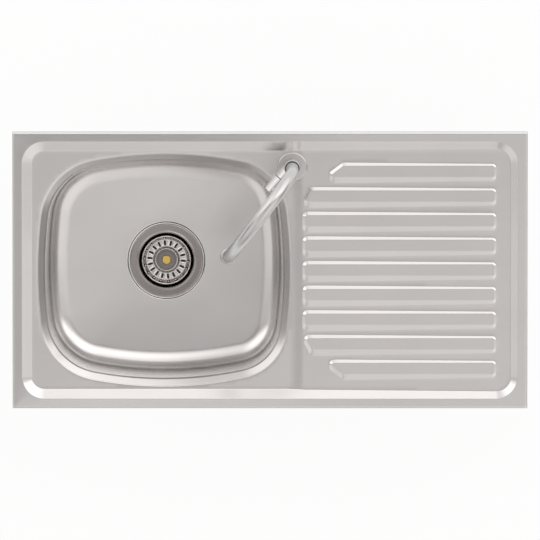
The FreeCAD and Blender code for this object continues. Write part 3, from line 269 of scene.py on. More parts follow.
def quads(grid, close_rows=False, close_columns=False):
    """Vertices and faces of a grid: a cell joins two neighbours of a row to the same two of the next."""
    rows, columns = grid.shape[:2]
    row = np.arange(rows if close_rows else rows - 1)
    column = np.arange(columns if close_columns else columns - 1)
    row, column = np.meshgrid(row, column, indexing="ij")
    next_row = (row + 1) % rows
    next_column = (column + 1) % columns
    corners = [
        row * columns + column,
        row * columns + next_column,
        next_row * columns + next_column,
        next_row * columns + column,
    ]
    return grid.reshape(-1, 3), np.stack(corners, -1).reshape(-1, 4)


def piece_mesh(name, surfaces, merge=2e-6, sharp=40.0):
    """One smooth mesh object from (vertices, faces) pairs, with their common seams merged."""
    vertices = []
    faces = []
    first = 0
    for points, cells in surfaces:
        vertices.append(np.asarray(points, float))
        faces.extend((np.asarray(cells) + first).tolist())
        first += len(points)
    mesh = bpy.data.meshes.new(name)
    mesh.from_pydata(np.concatenate(vertices), [], faces)
    work = bmesh.new()
    work.from_mesh(mesh)
    bmesh.ops.remove_doubles(work, verts=work.verts, dist=merge)
    bmesh.ops.dissolve_degenerate(work, edges=work.edges, dist=merge / 4)
    work.to_mesh(mesh)
    work.free()
    mesh.polygons.foreach_set("use_smooth", np.ones(len(mesh.polygons), bool))
    mesh.set_sharp_from_angle(angle=math.radians(sharp))
    mesh.update()
    made = bpy.data.objects.new(name, mesh)
    bpy.context.scene.collection.objects.link(made)
    return made


def finish_piece(made, body, slot, *nodes, finish=None):
    """Give a piece its body, and let it stand for its CAD nodes.

    Its material is the slot's own, or another finish of the sink.
    """
    made.data.materials.append(materials()[finish or slot])
    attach(made, body)
    if nodes:
        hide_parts(*nodes)
    return made


def add_wall(made, thickness):
    """Give a sheet its thickness, inward from its outer face."""
    wall = made.modifiers.new("Wall", "SOLIDIFY")
    wall.thickness = thickness
    wall.offset = -1.0
    wall.use_even_offset = False
    wall.use_rim = True


def rounded(corners, steps=6):
    """Path through (across, along, radius) corners, each rounded by an arc of its radius.

    A corner's arc starts and ends at radius times the tangent of half its turn from the corner;
    one more point a little outside each end keeps the flat parts flat in smooth shading.
    """
    points = np.array([corner[:2] for corner in corners], float)
    path = [points[0]]
    for index in range(1, len(corners) - 1):
        radius = corners[index][2]
        before = points[index] - points[index - 1]
        after = points[index + 1] - points[index]
        before_length = np.linalg.norm(before)
        after_length = np.linalg.norm(after)
        before = before / before_length
        after = after / after_length
        turn = math.atan2(before[0] * after[1] - before[1] * after[0], before @ after)
        if radius <= 0 or abs(turn) < 1e-6:
            path.append(points[index])
            continue
        reach = min(radius * math.tan(abs(turn) / 2), 0.48 * before_length, 0.48 * after_length)
        radius = reach / math.tan(abs(turn) / 2)
        side = np.array([-before[1], before[0]]) * math.copysign(1.0, turn)
        centre = points[index] - before * reach + side * radius
        angles = np.linspace(0, turn, steps + 1)
        spoke = -side
        arc = np.stack(
            [
                spoke[0] * np.cos(angles) - spoke[1] * np.sin(angles),
                spoke[0] * np.sin(angles) + spoke[1] * np.cos(angles),
            ],
            -1,
        )
        extra = min(0.3 * reach, 0.3 * (before_length - reach), 0.3 * (after_length - reach))
        path.append(points[index] - before * (reach + extra))
        path.extend(centre + radius * arc)
        path.append(points[index] + after * (reach + extra))
    path.append(points[-1])
    return np.array(path)


def lathe(path, turns=96):
    """Surface of revolution: each (radius, height) of the path is carried round the Z axis.

    The path runs up the outside and in across the top, so that the faces point outward.
    """
    angle = np.linspace(0, 2 * np.pi, turns, endpoint=False)
    radius = path[:, 0, None]
    grid = np.stack([radius * np.cos(angle), radius * np.sin(angle), path[:, 1, None] + 0 * angle], -1)
    return quads(grid, close_columns=True)


def lifted(plan, height):
    """Plan points with their heights, or with one height for all, as points in space."""
    return np.concatenate([plan, np.broadcast_to(height, plan.shape[:-1])[..., None]], -1)


def moved(surface, offset):
    """The same surface shifted."""
    return surface[0] + np.asarray(offset, float), surface[1]


def turned_to(surface, across, up, along, origin):
    """The same surface with its X, Y and Z axes laid along three directions from an origin."""
    axes = np.array([across, up, along], float)
    return surface[0] @ axes + np.asarray(origin, float), surface[1]


# ---- Outlines ----


def corner_arcs(corners, radius):
    """Centre, radius, start and end angle of the arc at each corner of an anticlockwise outline."""
    corners = np.asarray(corners, float)
    arcs = []
    for index in range(len(corners)):
        before = corners[index] - corners[index - 1]
        after = corners[(index + 1) % len(corners)] - corners[index]
        before = before / np.linalg.norm(before)
        after = after / np.linalg.norm(after)
        turn = math.atan2(before[0] * after[1] - before[1] * after[0], before @ after)
        side = np.array([-before[1], before[0]])
        centre = corners[index] - before * radius * math.tan(turn / 2) + side * radius
        start = math.atan2(-before[0], before[1])
        arcs.append((centre, radius, start, start + turn))
    return arcs


def outline(arcs, samples=300):
    """Dense points and outward normals round an outline of arcs joined by straight runs.

    A point of an arc is its centre plus its radius times the direction of its angle.
    """
    points = []
    normals = []
    share = np.linspace(0, 1, samples)[:, None]
    for index, (centre, radius, start, end) in enumerate(arcs):
        angle = start + (end - start) * share[:, 0]
        normal = np.stack([np.cos(angle), np.sin(angle)], -1)
        points.append(centre + radius * normal)
        normals.append(normal)
        next_centre, next_radius, next_start, _ = arcs[(index + 1) % len(arcs)]
        run_start = points[-1][-1]
        run_end = next_centre + next_radius * np.array([math.cos(next_start), math.sin(next_start)])
        if np.linalg.norm(run_end - run_start) > 1e-6:
            points.append((run_start + (run_end - run_start) * share)[1:-1])
            normals.append(np.repeat(normal[-1:], samples - 2, 0))
    return np.concatenate(points), np.concatenate(normals)


def spread_over(points, normals, turn_step, run_step):
    """Indices of outline points that lie evenly by turn and by length together."""
    step = np.linalg.norm(np.roll(points, -1, 0) - points, axis=1)
    turn = np.arccos(np.clip((normals * np.roll(normals, -1, 0)).sum(1), -1, 1))
    measure = np.cumsum(step / run_step + turn / turn_step)
    count = int(math.ceil(measure[-1]))
    return np.unique(np.searchsorted(measure, np.arange(count) * measure[-1] / count))


def meeting_centre(first, first_reach, second, second_reach, towards):
    """Point at given distances from two centres, on the side of a direction."""
    apart = second - first
    distance = np.linalg.norm(apart)
    along = (first_reach ** 2 - second_reach ** 2 + distance ** 2) / (2 * distance)
    across = math.sqrt(first_reach ** 2 - along ** 2)
    unit = apart / distance
    side = np.array([-unit[1], unit[0]]) * across
    foot = first + unit * along
    return max((foot + side, foot - side), key=lambda point: point @ towards)


def mouth_outline():
    """Outline of the bowl's mouth: eight arcs, each tangent to its neighbours."""
    bowl = bpy.context.scene.sink_bowl
    middle = np.array([bowl.centre_x, bowl.centre_y])
    half_x = bowl.length / 2
    half_y = bowl.width / 2
    sides = [
        (middle + [half_x - bowl.end_side_radius, 0], bowl.end_side_radius),
        (middle + [0, half_y - bowl.long_side_radius], bowl.long_side_radius),
        (middle - [half_x - bowl.end_side_radius, 0], bowl.end_side_radius),
        (middle - [0, half_y - bowl.long_side_radius], bowl.long_side_radius),
    ]
    ways = np.array([[1, 1], [-1, 1], [-1, -1], [1, -1]], float)
    radii = [bowl.right_corner, bowl.left_corner, bowl.left_corner, bowl.right_corner]
    corners = []
    for index in range(4):
        first, first_radius = sides[index]
        second, second_radius = sides[(index + 1) % 4]
        centre = meeting_centre(
            first, first_radius - radii[index], second, second_radius - radii[index], ways[index]
        )
        start = math.atan2(*(centre - first)[::-1])
        end = math.atan2(*(centre - second)[::-1])
        corners.append((centre, radii[index], start, start + (end - start) % (2 * math.pi)))
    arcs = []
    for index, corner in enumerate(corners):
        side_centre, side_radius = sides[index]
        start = corners[index - 1][3]
        arcs.append((side_centre, side_radius, start, start + (corner[2] - start) % (2 * math.pi)))
        arcs.append(corner)
    return outline(arcs)


# ---- Pressed top ----


def floor_height(x):
    """Height of the deck: level by the bowl, a short rise, then a straight line to the right."""
    top = bpy.context.scene.sink_top
    step_run = 1 / math.tan(top.step_slope)
    end_x = top.half_length - top.rim_width - top.end_depth * step_run
    rise = (top.depth - top.end_depth - top.lead_rise) / (end_x - top.drainer_start)
    lead = top.lead_rise * np.clip((x - top.lead_start) / (top.lead_end - top.lead_start), 0, 1)
    return top.rim_height - top.depth + lead + rise * np.maximum(0, x - top.drainer_start)


def rib_corners(place):
    """Plan corners of a rib's flat top; the outer ribs start on a slant."""
    rib = bpy.context.scene.sink_ribs
    setback = {3: (0.0, 0.010), 4: (0.0345, 0.059)}
    inner, outer = setback.get(abs(place), (0.0, 0.0))
    low_setback, high_setback = (inner, outer) if place > 0 else (outer, inner)
    low_y = place * rib.pitch - rib.width / 2
    high_y = place * rib.pitch + rib.width / 2
    return [
        (rib.start + low_setback, low_y),
        (rib.end, low_y),
        (rib.end, high_y),
        (rib.start + high_setback, high_y),
    ]


def rib_rings(place):
    """Rings round one rib, from its foot to its flat top.

    A ring is the top's outline moved outward by a distance and lowered by a depth. The section
    is an arc at the foot, a straight slope and an arc at the top; the foot follows the deck.
    """
    rib = bpy.context.scene.sink_ribs
    points, normals = outline(corner_arcs(rib_corners(place), rib.corner_radius))
    chosen = spread_over(points, normals, math.radians(9), 0.009)
    points, normals = points[chosen], normals[chosen]
    top_z = floor_height(rib.end) + rib.end_height
    slope = 1 / math.tan(rib.side_slope)
    half_turn = math.tan(rib.side_slope / 2)
    foot_radius = 0.9 * rib.edge_radius
    stretch = 1 + rib.stretch * np.clip(-normals[:, 1], 0, 1) ** 2
    rise = top_z - floor_height(points[:, 0])
    for _ in range(8):
        foot_x = points[:, 0] + normals[:, 0] * stretch * (rise * slope + foot_radius * half_turn)
        rise = top_z - floor_height(foot_x)
    bend = np.linspace(0, rib.side_slope, 5)
    outward = []
    depth = []
    for angle in bend:
        outward.append(rise * slope + foot_radius * (half_turn - math.sin(angle)))
        depth.append(rise - foot_radius * (1 - math.cos(angle)))
    for angle in bend[::-1]:
        outward.append(0 * rise + rib.edge_radius * (math.sin(angle) - half_turn))
        depth.append(0 * rise + rib.edge_radius * (1 - math.cos(angle)))
    outward.append(0 * rise - rib.edge_radius * (half_turn + 0.6))
    depth.append(0 * rise)
    outward = (np.array(outward) * stretch)[..., None]
    plan = points + normals * outward
    return lifted(plan, top_z - np.array(depth))


def inside(points, loop):
    """Which points lie inside a closed loop, by counting its crossings of a ray."""
    x, y = points[:, 0, None], points[:, 1, None]
    x0, y0 = loop[:, 0], loop[:, 1]
    x1, y1 = np.roll(x0, -1), np.roll(y0, -1)
    spans = (y0 > y) != (y1 > y)
    with np.errstate(divide="ignore", invalid="ignore"):
        crossing = x0 + (y - y0) * (x1 - x0) / (y1 - y0)
    return (spans & (x < crossing)).sum(1) % 2 == 1


def filled(border, holes, spacing, clearance, kinks=()):
    """Flat triangles between a border and its holes, with a mesh of points inside.

    Points also stand along each kink, a line across the mesh at a given X.
    """
    low, high = border.min(0), border.max(0)
    xs = np.arange(low[0] + spacing / 2, high[0], spacing)
    ys = np.arange(low[1] + spacing / 2, high[1], spacing)
    for kink in kinks:
        xs = xs[np.abs(xs - kink) > 0.4 * spacing]
    spots = np.stack(np.meshgrid(np.concatenate([xs, kinks]), ys), -1).reshape(-1, 2)
    loops = [border] + list(holes)
    edge_points = np.concatenate(loops)
    keep = inside(spots, border) & (distance_to(spots, border) > clearance)
    for hole in holes:
        keep &= ~inside(spots, hole) & (distance_to(spots, hole) > clearance)
    spots = spots[keep]
    edges = []
    first = 0
    for loop in loops:
        index = np.arange(len(loop))
        edges.extend(np.stack([first + index, first + (index + 1) % len(loop)], -1).tolist())
        first += len(loop)
    points = np.concatenate([edge_points, spots])
    found, _, cells, _, _, _ = delaunay_2d_cdt([tuple(p) for p in points], edges, [], 0, 1e-7)
    found = np.array([tuple(p) for p in found])
    cells = np.array(cells)
    middle = found[cells].mean(1)
    keep = inside(middle, border)
    for hole in holes:
        keep &= ~inside(middle, hole)
    return found, cells[keep & (narrowest(found[cells]) > 5e-7)]


def distance_to(points, loop):
    """Distance of points from a closed loop: from the nearest place of its nearest side."""
    side = np.roll(loop, -1, 0) - loop
    away = points[:, None] - loop
    share = np.clip((away * side).sum(2) / (side ** 2).sum(1), 0, 1)
    return np.linalg.norm(away - share[..., None] * side, axis=2).min(1)


def narrowest(triangles):
    """Smallest height of each flat triangle: twice its area over its longest side."""
    sides = triangles - np.roll(triangles, 1, axis=1)
    twice_area = np.abs(sides[:, 0, 0] * sides[:, 1, 1] - sides[:, 0, 1] * sides[:, 1, 0])
    return twice_area / np.linalg.norm(sides, axis=2).max(1)


def circle_loop(centre, radius, count):
    """Points round a circle."""
    angle = np.linspace(0, 2 * np.pi, count, endpoint=False)
    return np.asarray(centre) + radius * np.stack([np.cos(angle), np.sin(angle)], -1)


def tray_rings():
    """Rings round the top, from the return flange over the rim and down the step to the deck.

    Outside the rim's inner edge a ring is a rectangle with sharp corners, on the same spokes as
    the rounded rings inside it: a spoke at a corner is stretched by one over its longer side.
    The left part of the rim droops outward, by a smooth step along X.
    """
    top = bpy.context.scene.sink_top
    half_x = top.half_length - top.rim_width
    half_y = top.half_depth - top.rim_width
    corners = [(-half_x, -half_y), (half_x, -half_y), (half_x, half_y), (-half_x, half_y)]
    points, normals = outline(corner_arcs(corners, top.corner_radius), samples=301)
    centre = np.array([bpy.context.scene.sink_bowl.centre_x, bpy.context.scene.sink_bowl.centre_y])
    chosen = spread_over(points, normals, math.radians(3.0), 0.014)
    diagonal = np.flatnonzero(np.abs(np.abs(normals[:, 0]) - math.sqrt(0.5)) < 1e-4)
    chosen = np.unique(np.concatenate([chosen, diagonal]))
    points, normals = points[chosen], normals[chosen]
    hub = points - normals * top.corner_radius
    stretch = (1 / np.abs(normals).max(1))[:, None]
    rows = []
    distances = []

    def ring(distance, height, squareness):
        """One ring at a distance outside the rim's inner edge."""
        factor = 1 + squareness * (stretch - 1)
        plan = hub + normals * (top.corner_radius + distance) * factor
        rows.append(lifted(plan, height))
        distances.append(distance)

    section = rounded(
        [
            (top.rim_width - top.return_width, 0, 0),
            (top.rim_width, 0, 0.0012),
            (top.rim_width, top.rim_height, top.fold_radius),
            (top.bend_radius, top.rim_height, 0),
        ]
    )
    for distance, height in section[:-1]:
        ring(distance, height, 1.0)
    for share in (0.75, 0.5, 0.25):
        ring((top.rim_width - top.fold_radius) * share, top.rim_height, share)
    rows = np.array(rows)
    droop_start, droop_run = 0.12, 0.34
    outward = np.clip(np.array(distances)[:, None] / top.rim_width, 0, 1)
    left = np.clip((droop_start - rows[..., 0]) / droop_run, 0, 1)
    upper = np.clip(rows[..., 2] / top.rim_height, 0, 1)
    rows[..., 2] -= top.rim_droop * outward * upper * left * left * (3 - 2 * left)
    step_run = 1 / math.tan(top.step_slope)
    half_turn = math.tan(top.step_slope / 2)
    foot_radius = 1.25 * top.bend_radius
    foot_x = points[:, 0]
    for _ in range(3):
        depth = top.rim_height - floor_height(foot_x)
        foot_x = points[:, 0] - normals[:, 0] * (depth * step_run + foot_radius * half_turn)
    bend = np.linspace(0, top.step_slope, 6)
    inward = [0 * depth - top.bend_radius * (half_turn + 0.3)]
    drop = [0 * depth]
    for angle in bend:
        inward.append(0 * depth + top.bend_radius * (math.sin(angle) - half_turn))
        drop.append(0 * depth + top.bend_radius * (1 - math.cos(angle)))
    for angle in bend[::-1]:
        inward.append(depth * step_run + foot_radius * (half_turn - math.sin(angle)))
        drop.append(depth - foot_radius * (1 - math.cos(angle)))
    inward = np.array(inward)[..., None]
    plan = points - normals * inward
    return np.concatenate([rows, lifted(plan, top.rim_height - np.array(drop))])


def build_top():
    """The steel top: rim rings, rib rings, flat land between them and the mouth's edge."""
    top = bpy.context.scene.sink_top
    rim = tray_rings()
    surfaces = [quads(rim, close_columns=True)]
    border = rim[-1, :, :2]
    ribs = []
    middle = (bpy.context.scene.sink_ribs.count - 1) // 2
    for index in range(bpy.context.scene.sink_ribs.count):
        rings = rib_rings(index - middle)
        surfaces.append(quads(rings, close_columns=True))
        ribs.append(rings[0, :, :2])
        flat, cells = filled(rings[-1, :, :2], [], 0.006, 0.002)
        surfaces.append((lifted(flat, rings[-1, 0, 2]), cells))
    points, normals = mouth_outline()
    chosen = spread_over(points, normals, math.radians(2.5), 0.009)
    points, normals = points[chosen], normals[chosen]
    bend = np.linspace(0, top.mouth_slope, 7)
    inward = (np.sin(bend) - math.sin(top.mouth_slope)) * top.mouth_edge
    drop = (1 - np.cos(bend)) * top.mouth_edge
    plan = points - normals * inward[:, None, None]
    height = floor_height(plan[..., 0]) - drop[:, None]
    edge = lifted(plan, height)
    surfaces.append(quads(edge, close_columns=True))
    tap_hole = circle_loop(TAP_AXIS, 0.0175, 48)
    holes = [edge[0, :, :2], tap_hole] + ribs
    kinks = (top.lead_start, top.lead_end, top.drainer_start)
    land, cells = filled(border, holes, 0.006, 0.002, kinks)
    surfaces.append((lifted(land, floor_height(land[:, 0])), cells))
    made = piece_mesh("pressed_top", surfaces)
    add_wall(made, top.sheet)
    return finish_piece(made, "sink", "sink_steel", "deck_panel")


# ---- Bowl ----


def bowl_section():
    """Section of the bowl from its lip to the flat floor, as inward distance and height.

    It is a walk of straight runs and arcs: a run goes on in its heading, an arc turns it.
    """
    bowl = bpy.context.scene.sink_bowl
    top = bpy.context.scene.sink_top
    shoulder, wall = bowl.shoulder_slope, bowl.wall_slope
    drop = bowl.edge_radius * (1 - math.cos(shoulder)) + bowl.shoulder_length * math.sin(shoulder)
    drop += bowl.shoulder_radius * (math.cos(shoulder) - math.cos(wall))
    drop += bowl.floor_radius * (1 - math.cos(wall))
    wall_length = (bowl.depth - top.sheet - drop) / math.sin(wall)
    moves = [
        (bowl.lip, 0.0, 0.0, 3),
        (0.0, bowl.edge_radius, shoulder, 6),
        (bowl.shoulder_length, 0.0, 0.0, 3),
        (0.0, bowl.shoulder_radius, wall - shoulder, 14),
        (wall_length, 0.0, 0.0, 10),
        (0.0, bowl.floor_radius, -wall, 20),
    ]
    place = np.array([-bowl.lip, top.rim_height - top.depth - top.sheet])
    heading = 0.0
    path = [place[None]]
    for run, radius, turn, steps in moves:
        share = np.linspace(0, 1, steps + 1)[1:, None]
        ahead = np.array([math.cos(heading), -math.sin(heading)])
        if run:
            path.append(place + ahead * run * share)
        else:
            side = math.copysign(1.0, turn)
            centre = place - side * radius * np.array([math.sin(heading), math.cos(heading)])
            angle = heading + turn * share
            path.append(centre + side * radius * np.concatenate([np.sin(angle), np.cos(angle)], 1))
            heading += turn
        place = path[-1][-1]
    return np.concatenate(path)


def build_bowl():
    """The bowl: its section carried round the mouth, then a floor ruled to the waste's recess."""
    bowl = bpy.context.scene.sink_bowl
    top = bpy.context.scene.sink_top
    points, normals = mouth_outline()
    chosen = spread_over(points, normals, math.radians(2.0), 0.008)
    points, normals = points[chosen], normals[chosen]
    section = bowl_section()
    plan = points - normals * section[:, 0, None, None]
    floor_z = section[-1, 1]
    low_share = np.clip(1 - (section[:, 1] - floor_z) / (2 * bowl.floor_radius), 0, 1)
    rows = [lifted(plan, (section[:, 1] + bowl.dish * low_share ** 2)[:, None])]
    edge = rows[0][-1]
    spoke = edge[:, :2] - DRAIN_AXIS
    spoke = spoke / np.linalg.norm(spoke, axis=1)[:, None]
    bend = bowl.seat_bend
    seat_edge = bowl.seat_radius + 2 * bend - 0.8 * MM
    turn = math.radians(60)
    slope_run = (bowl.seat_depth - 2 * bend * (1 - math.cos(turn))) / math.tan(turn)
    seat_foot = seat_edge - 2 * bend * math.sin(turn) - slope_run
    seat = []
    for angle in np.linspace(0, turn, 5):
        seat.append((seat_edge - bend * math.sin(angle), bend * (1 - math.cos(angle))))
    for angle in np.linspace(turn, 0, 5):
        seat.append((seat_foot + bend * math.sin(angle), bowl.seat_depth - bend * (1 - math.cos(angle))))
    seat.append((bowl.hole_radius, bowl.seat_depth))
    start = DRAIN_AXIS + spoke * (seat[0][0] + 0.5 * MM)
    for share in np.linspace(0, 1, 13)[1:]:
        flat = edge[:, :2] + (start - edge[:, :2]) * share
        rows.append(lifted(flat, floor_z + bowl.dish * (1 - share) ** 1.4)[None])
    for radius, depth in seat:
        rows.append(lifted(DRAIN_AXIS + spoke * radius, floor_z - depth)[None])
    made = piece_mesh("bowl_shell", [quads(np.concatenate(rows), close_columns=True)])
    add_wall(made, top.sheet)
    return finish_piece(made, "sink", "sink_steel", "bowl")


# ---- Waste ----


def drain_lathe(corners, steps=6, turns=120):
    """Surface of revolution about the drain's axis."""
    return moved(lathe(rounded(corners, steps), turns), (*DRAIN_AXIS, 0))


def build_strainer():
    """Steel flange with its raised lip, and the cup under it."""
    waste = bpy.context.scene.sink_waste
    low = height_range("flange_gasket")[1]
    cup_floor = height_range("basket_plug")[0]
    under = height_range("strainer_body")[0]
    sheet = 1.0 * MM
    cup = waste.cup_radius
    corners = [
        (0.0041, under, 0),
        (0.0100, under, 0.8 * MM),
        (0.0100, cup_floor - sheet, 0.8 * MM),
        (cup + sheet - 6 * MM, cup_floor - sheet, 0),
        (cup + sheet - 0.2 * MM, cup_floor + 4 * MM, 4 * MM),
        (cup + sheet, low, 0.3 * MM),
        (waste.flange_radius, low, 0.2 * MM),
        (waste.flange_radius, low + 0.4 * MM, 0.3 * MM),
        (waste.flange_radius - 1.6 * MM, low + 1.0 * MM, 2.5 * MM),
        (waste.lip_radius + 2.4 * MM, low + 0.75 * MM, 1.5 * MM),
        (waste.lip_radius, low + 1.6 * MM, 0.9 * MM),
        (cup, low + 0.4 * MM, 1.5 * MM),
        (cup, cup_floor + 5 * MM, 3 * MM),
        (cup - 5 * MM, cup_floor, 3 * MM),
        (0.0090, cup_floor, 0.6 * MM),
        (0.0090, cup_floor - 5 * MM, 0.6 * MM),
        (0.0041, cup_floor - 5 * MM, 0),
    ]
    made = piece_mesh("strainer_cup", [drain_lathe(corners)])
    # The flange and cup take a darker copy of the satin steel: painted shade.
    return finish_piece(made, "sink", "strainer_steel", "strainer_body", finish="flange_steel_painted_shade")


def build_basket():
    """Slotted basket and its nubs: rings about the drain's axis, without the cells in the slots.

    Columns are spaced so that two of them follow the sides of every slot: the half angle of
    a slot at a radius is the arcsine of half its width over that radius.
    """
    waste = bpy.context.scene.sink_waste
    under, rim_top = height_range("basket")
    sheet = 0.7 * MM
    floor_z = under + sheet
    hub_z = floor_z + 4.0 * MM
    wall = rounded(
        [
            (waste.rim_radius, rim_top - 1.6 * MM, 0),
            (waste.rim_radius, rim_top, 1.2 * MM),
            (waste.throat_radius, rim_top, 1.4 * MM),
            (waste.floor_radius + 0.2 * MM, floor_z, 1.5 * MM),
            (waste.slot_outer + 0.2 * MM, floor_z, 0),
        ],
        5,
    )
    end = waste.slot_width / 2
    cap = end * (1 - np.cos(np.linspace(0, math.pi / 2, 5)))
    straight = np.linspace(waste.slot_outer - end, waste.slot_inner + end, 5)[1:-1]
    slot = np.concatenate([waste.slot_outer - cap, straight, (waste.slot_inner + cap)[::-1]])
    hub = rounded(
        [
            (waste.slot_inner - 0.1 * MM, floor_z, 0),
            (waste.hub_radius + 3.4 * MM, floor_z, 0.8 * MM),
            (waste.hub_radius, hub_z, 1.2 * MM),
            (3.1 * MM, hub_z, 0),
        ],
        4,
    )
    radius = np.concatenate([wall[:-1, 0], slot, hub[1:, 0]])
    height = np.concatenate([wall[:-1, 1], np.full(len(slot), floor_z), hub[1:, 1]])
    beyond = radius - (waste.slot_outer - end)
    short = (waste.slot_inner + end) - radius
    distance = np.maximum(np.maximum(beyond, short), 0)
    half_width = np.sqrt(np.maximum(end ** 2 - distance ** 2, (0.12 * end) ** 2))
    half_angle = np.arcsin(np.minimum(half_width / np.maximum(radius, 5 * MM), 0.9))
    in_slot_row = (radius <= waste.slot_outer + 1e-9) & (radius >= waste.slot_inner - 1e-9)
    half_angle = np.where(in_slot_row, half_angle, end / waste.slot_outer)
    period = 2 * math.pi / waste.slot_count
    side = np.linspace(0, 1, 11)
    angle = half_angle[:, None] + (period - 2 * half_angle[:, None]) * side
    land = np.sin(np.pi * side)
    columns = []
    heights = []
    flute = np.where(in_slot_row, 0.45 * MM, 0.0) * np.clip(distance * -2 / end + 1, 0, 1)
    for index in range(waste.slot_count):
        columns.append(waste.slot_turn + index * period + angle)
        heights.append(height[:, None] + flute[:, None] * (land - 0.35))
    angle = np.concatenate(columns, 1)
    height = np.concatenate(heights, 1)
    plan = DRAIN_AXIS + radius[:, None, None] * np.stack([np.cos(angle), np.sin(angle)], -1)
    vertices, cells = quads(lifted(plan, height), close_columns=True)
    cell_row = cells[:, 0] // angle.shape[1]
    cell_column = cells[:, 0] % angle.shape[1]
    in_slot = in_slot_row[cell_row] & in_slot_row[np.minimum(cell_row + 1, len(radius) - 1)]
    in_slot &= cell_column % len(side) == len(side) - 1
    made = piece_mesh("basket_shell", [(vertices, cells[~in_slot])], merge=1e-7)
    add_wall(made, sheet)
    finish_piece(made, "basket", "strainer_steel", "basket")
    share = (waste.nub_circle - waste.floor_radius) / (waste.throat_radius - waste.floor_radius)
    nub_z = floor_z + share * (rim_top - floor_z)
    swing = np.linspace(-math.pi / 2, math.pi / 2, 9)
    ball = lathe(waste.nub_radius * np.stack([np.cos(swing), np.sin(swing)], -1), 16)
    nubs = []
    for index in range(waste.slot_count):
        turn = waste.slot_turn + index * period
        plan = DRAIN_AXIS + waste.nub_circle * np.array([math.cos(turn), math.sin(turn)])
        nubs.append(moved(ball, (*plan, nub_z)))
    nubs = piece_mesh("basket_nubs", nubs, merge=1e-7)
    # The nubs take a brighter copy of the basket's steel: painted highlight on top of their raised
    # shape.
    return finish_piece(nubs, "basket", "strainer_steel", finish="nub_steel_painted_highlight")


def build_knob():
    """Dished knob, its brass pin and the rubber plug under the basket."""
    waste = bpy.context.scene.sink_waste
    low, high = height_range("basket_knob")
    radius = waste.knob_radius
    knob = drain_lathe(
        [
            (3.1 * MM, low, 0),
            (radius - 0.4 * MM, low, 1.2 * MM),
            (radius, high, 0.7 * MM),
            (radius - 2.0 * MM, high, 0.6 * MM),
            (radius - 3.0 * MM, high - 1.6 * MM, 0.8 * MM),
            (3.1 * MM, high - 1.6 * MM, 0),
        ]
    )
    finish_piece(piece_mesh("grey_knob", [knob]), "basket", "knob_plastic", "basket_knob")
    stem_low, head_high = height_range("basket_pin")
    head_low = high - 1.6 * MM
    pin = drain_lathe(
        [
            (0.0, stem_low, 0),
            (3.0 * MM, stem_low, 0.3 * MM),
            (3.0 * MM, head_low, 0),
            (waste.pin_radius, head_low, 0),
            (waste.pin_radius, head_low + 0.3 * MM, 0),
            (waste.pin_radius - 1.2 * MM, head_high, 1.2 * MM),
            (0.0, head_high, 0),
        ]
    )
    finish_piece(piece_mesh("brass_pin", [pin]), "basket", "brass", "basket_pin")
    low, high = height_range("basket_plug")
    basket_under = height_range("basket")[0]
    plug = drain_lathe(
        [
            (3.1 * MM, low + 3.5 * MM, 0),
            (7.5 * MM, low + 3.5 * MM, 0.2 * MM),
            (7.5 * MM, low, 0.4 * MM),
            (30.0 * MM, low, 1.2 * MM),
            (30.0 * MM, basket_under, 0.8 * MM),
            (20.3 * MM, basket_under, 0.5 * MM),
            (17.9 * MM, high, 0.8 * MM),
            (3.1 * MM, high, 0),
        ]
    )
    return finish_piece(piece_mesh("rubber_plug", [plug]), "basket", "black_rubber", "basket_plug")


def build_housing():
    """White waste housing with a threaded outlet, its boss and three webs."""
    low, high = height_range("waste_housing")
    outlet_length = 24 * MM
    outlet_top = low + outlet_length
    shoulder = outlet_top + 14 * MM
    thread = []
    turns = 9
    pitch = (outlet_length - 4 * MM) / turns
    for index in range(turns):
        base = low + 1.5 * MM + index * pitch
        for radius, share in ((22.8, 0), (23.9, 0.35), (23.9, 0.6), (22.8, 0.95)):
            thread.append((radius * MM, base + pitch * share, 0.15 * MM))
    outside = [(20.0 * MM, low, 0), (22.8 * MM, low, 0.3 * MM)] + thread
    outside += [
        (23.8 * MM, outlet_top, 1.5 * MM),
        (48.5 * MM, shoulder, 4 * MM),
        (48.5 * MM, high - 4 * MM, 1.0 * MM),
        (58.0 * MM, high - 4 * MM, 0.6 * MM),
        (58.0 * MM, high, 0.4 * MM),
        (46.0 * MM, high, 0.4 * MM),
        (46.0 * MM, shoulder, 3 * MM),
        (20.0 * MM, outlet_top, 1.5 * MM),
        (20.0 * MM, low, 0),
    ]
    boss_top = height_range("strainer_body")[0]
    boss_low = boss_top - 22 * MM
    boss = [
        (4.05 * MM, boss_low, 0),
        (8.0 * MM, boss_low, 0.6 * MM),
        (8.0 * MM, boss_top, 0.3 * MM),
        (4.05 * MM, boss_top, 0),
        (4.05 * MM, boss_low, 0),
    ]
    surfaces = [drain_lathe(outside, 3, 96), drain_lathe(boss, 3, 48)]
    right = [(1.2, 0.0), (1.5, 1.0), (1.5, 13.0), (1.2, 14.0)]
    left = [(-across, up) for across, up in right[::-1]]
    edge = np.array([left[2], left[3], *right, *left[:2]]) * MM
    for index in range(3):
        angle = math.radians(30 + 120 * index)
        out = np.array([math.cos(angle), math.sin(angle), 0])
        side = np.array([-math.sin(angle), math.cos(angle), 0])
        reach = np.array([7.0, 20.0, 34.0, 46.8])[:, None, None] * MM
        across = edge[None, :, 0, None] * side
        raised = (boss_low + 4 * MM + edge[None, :, 1, None]) * UP
        web = out * reach + across + raised + np.array([*DRAIN_AXIS, 0])
        surfaces.append(quads(web, close_columns=True))
    made = piece_mesh("waste_body", surfaces)
    return finish_piece(made, "sink", "white_plastic", "waste_housing")


# ---- Tap ----


def tap_lathe(corners, steps=6, turns=96):
    """Surface of revolution about the tap's upright axis."""
    return moved(lathe(rounded(corners, steps), turns), (*TAP_AXIS, 0))


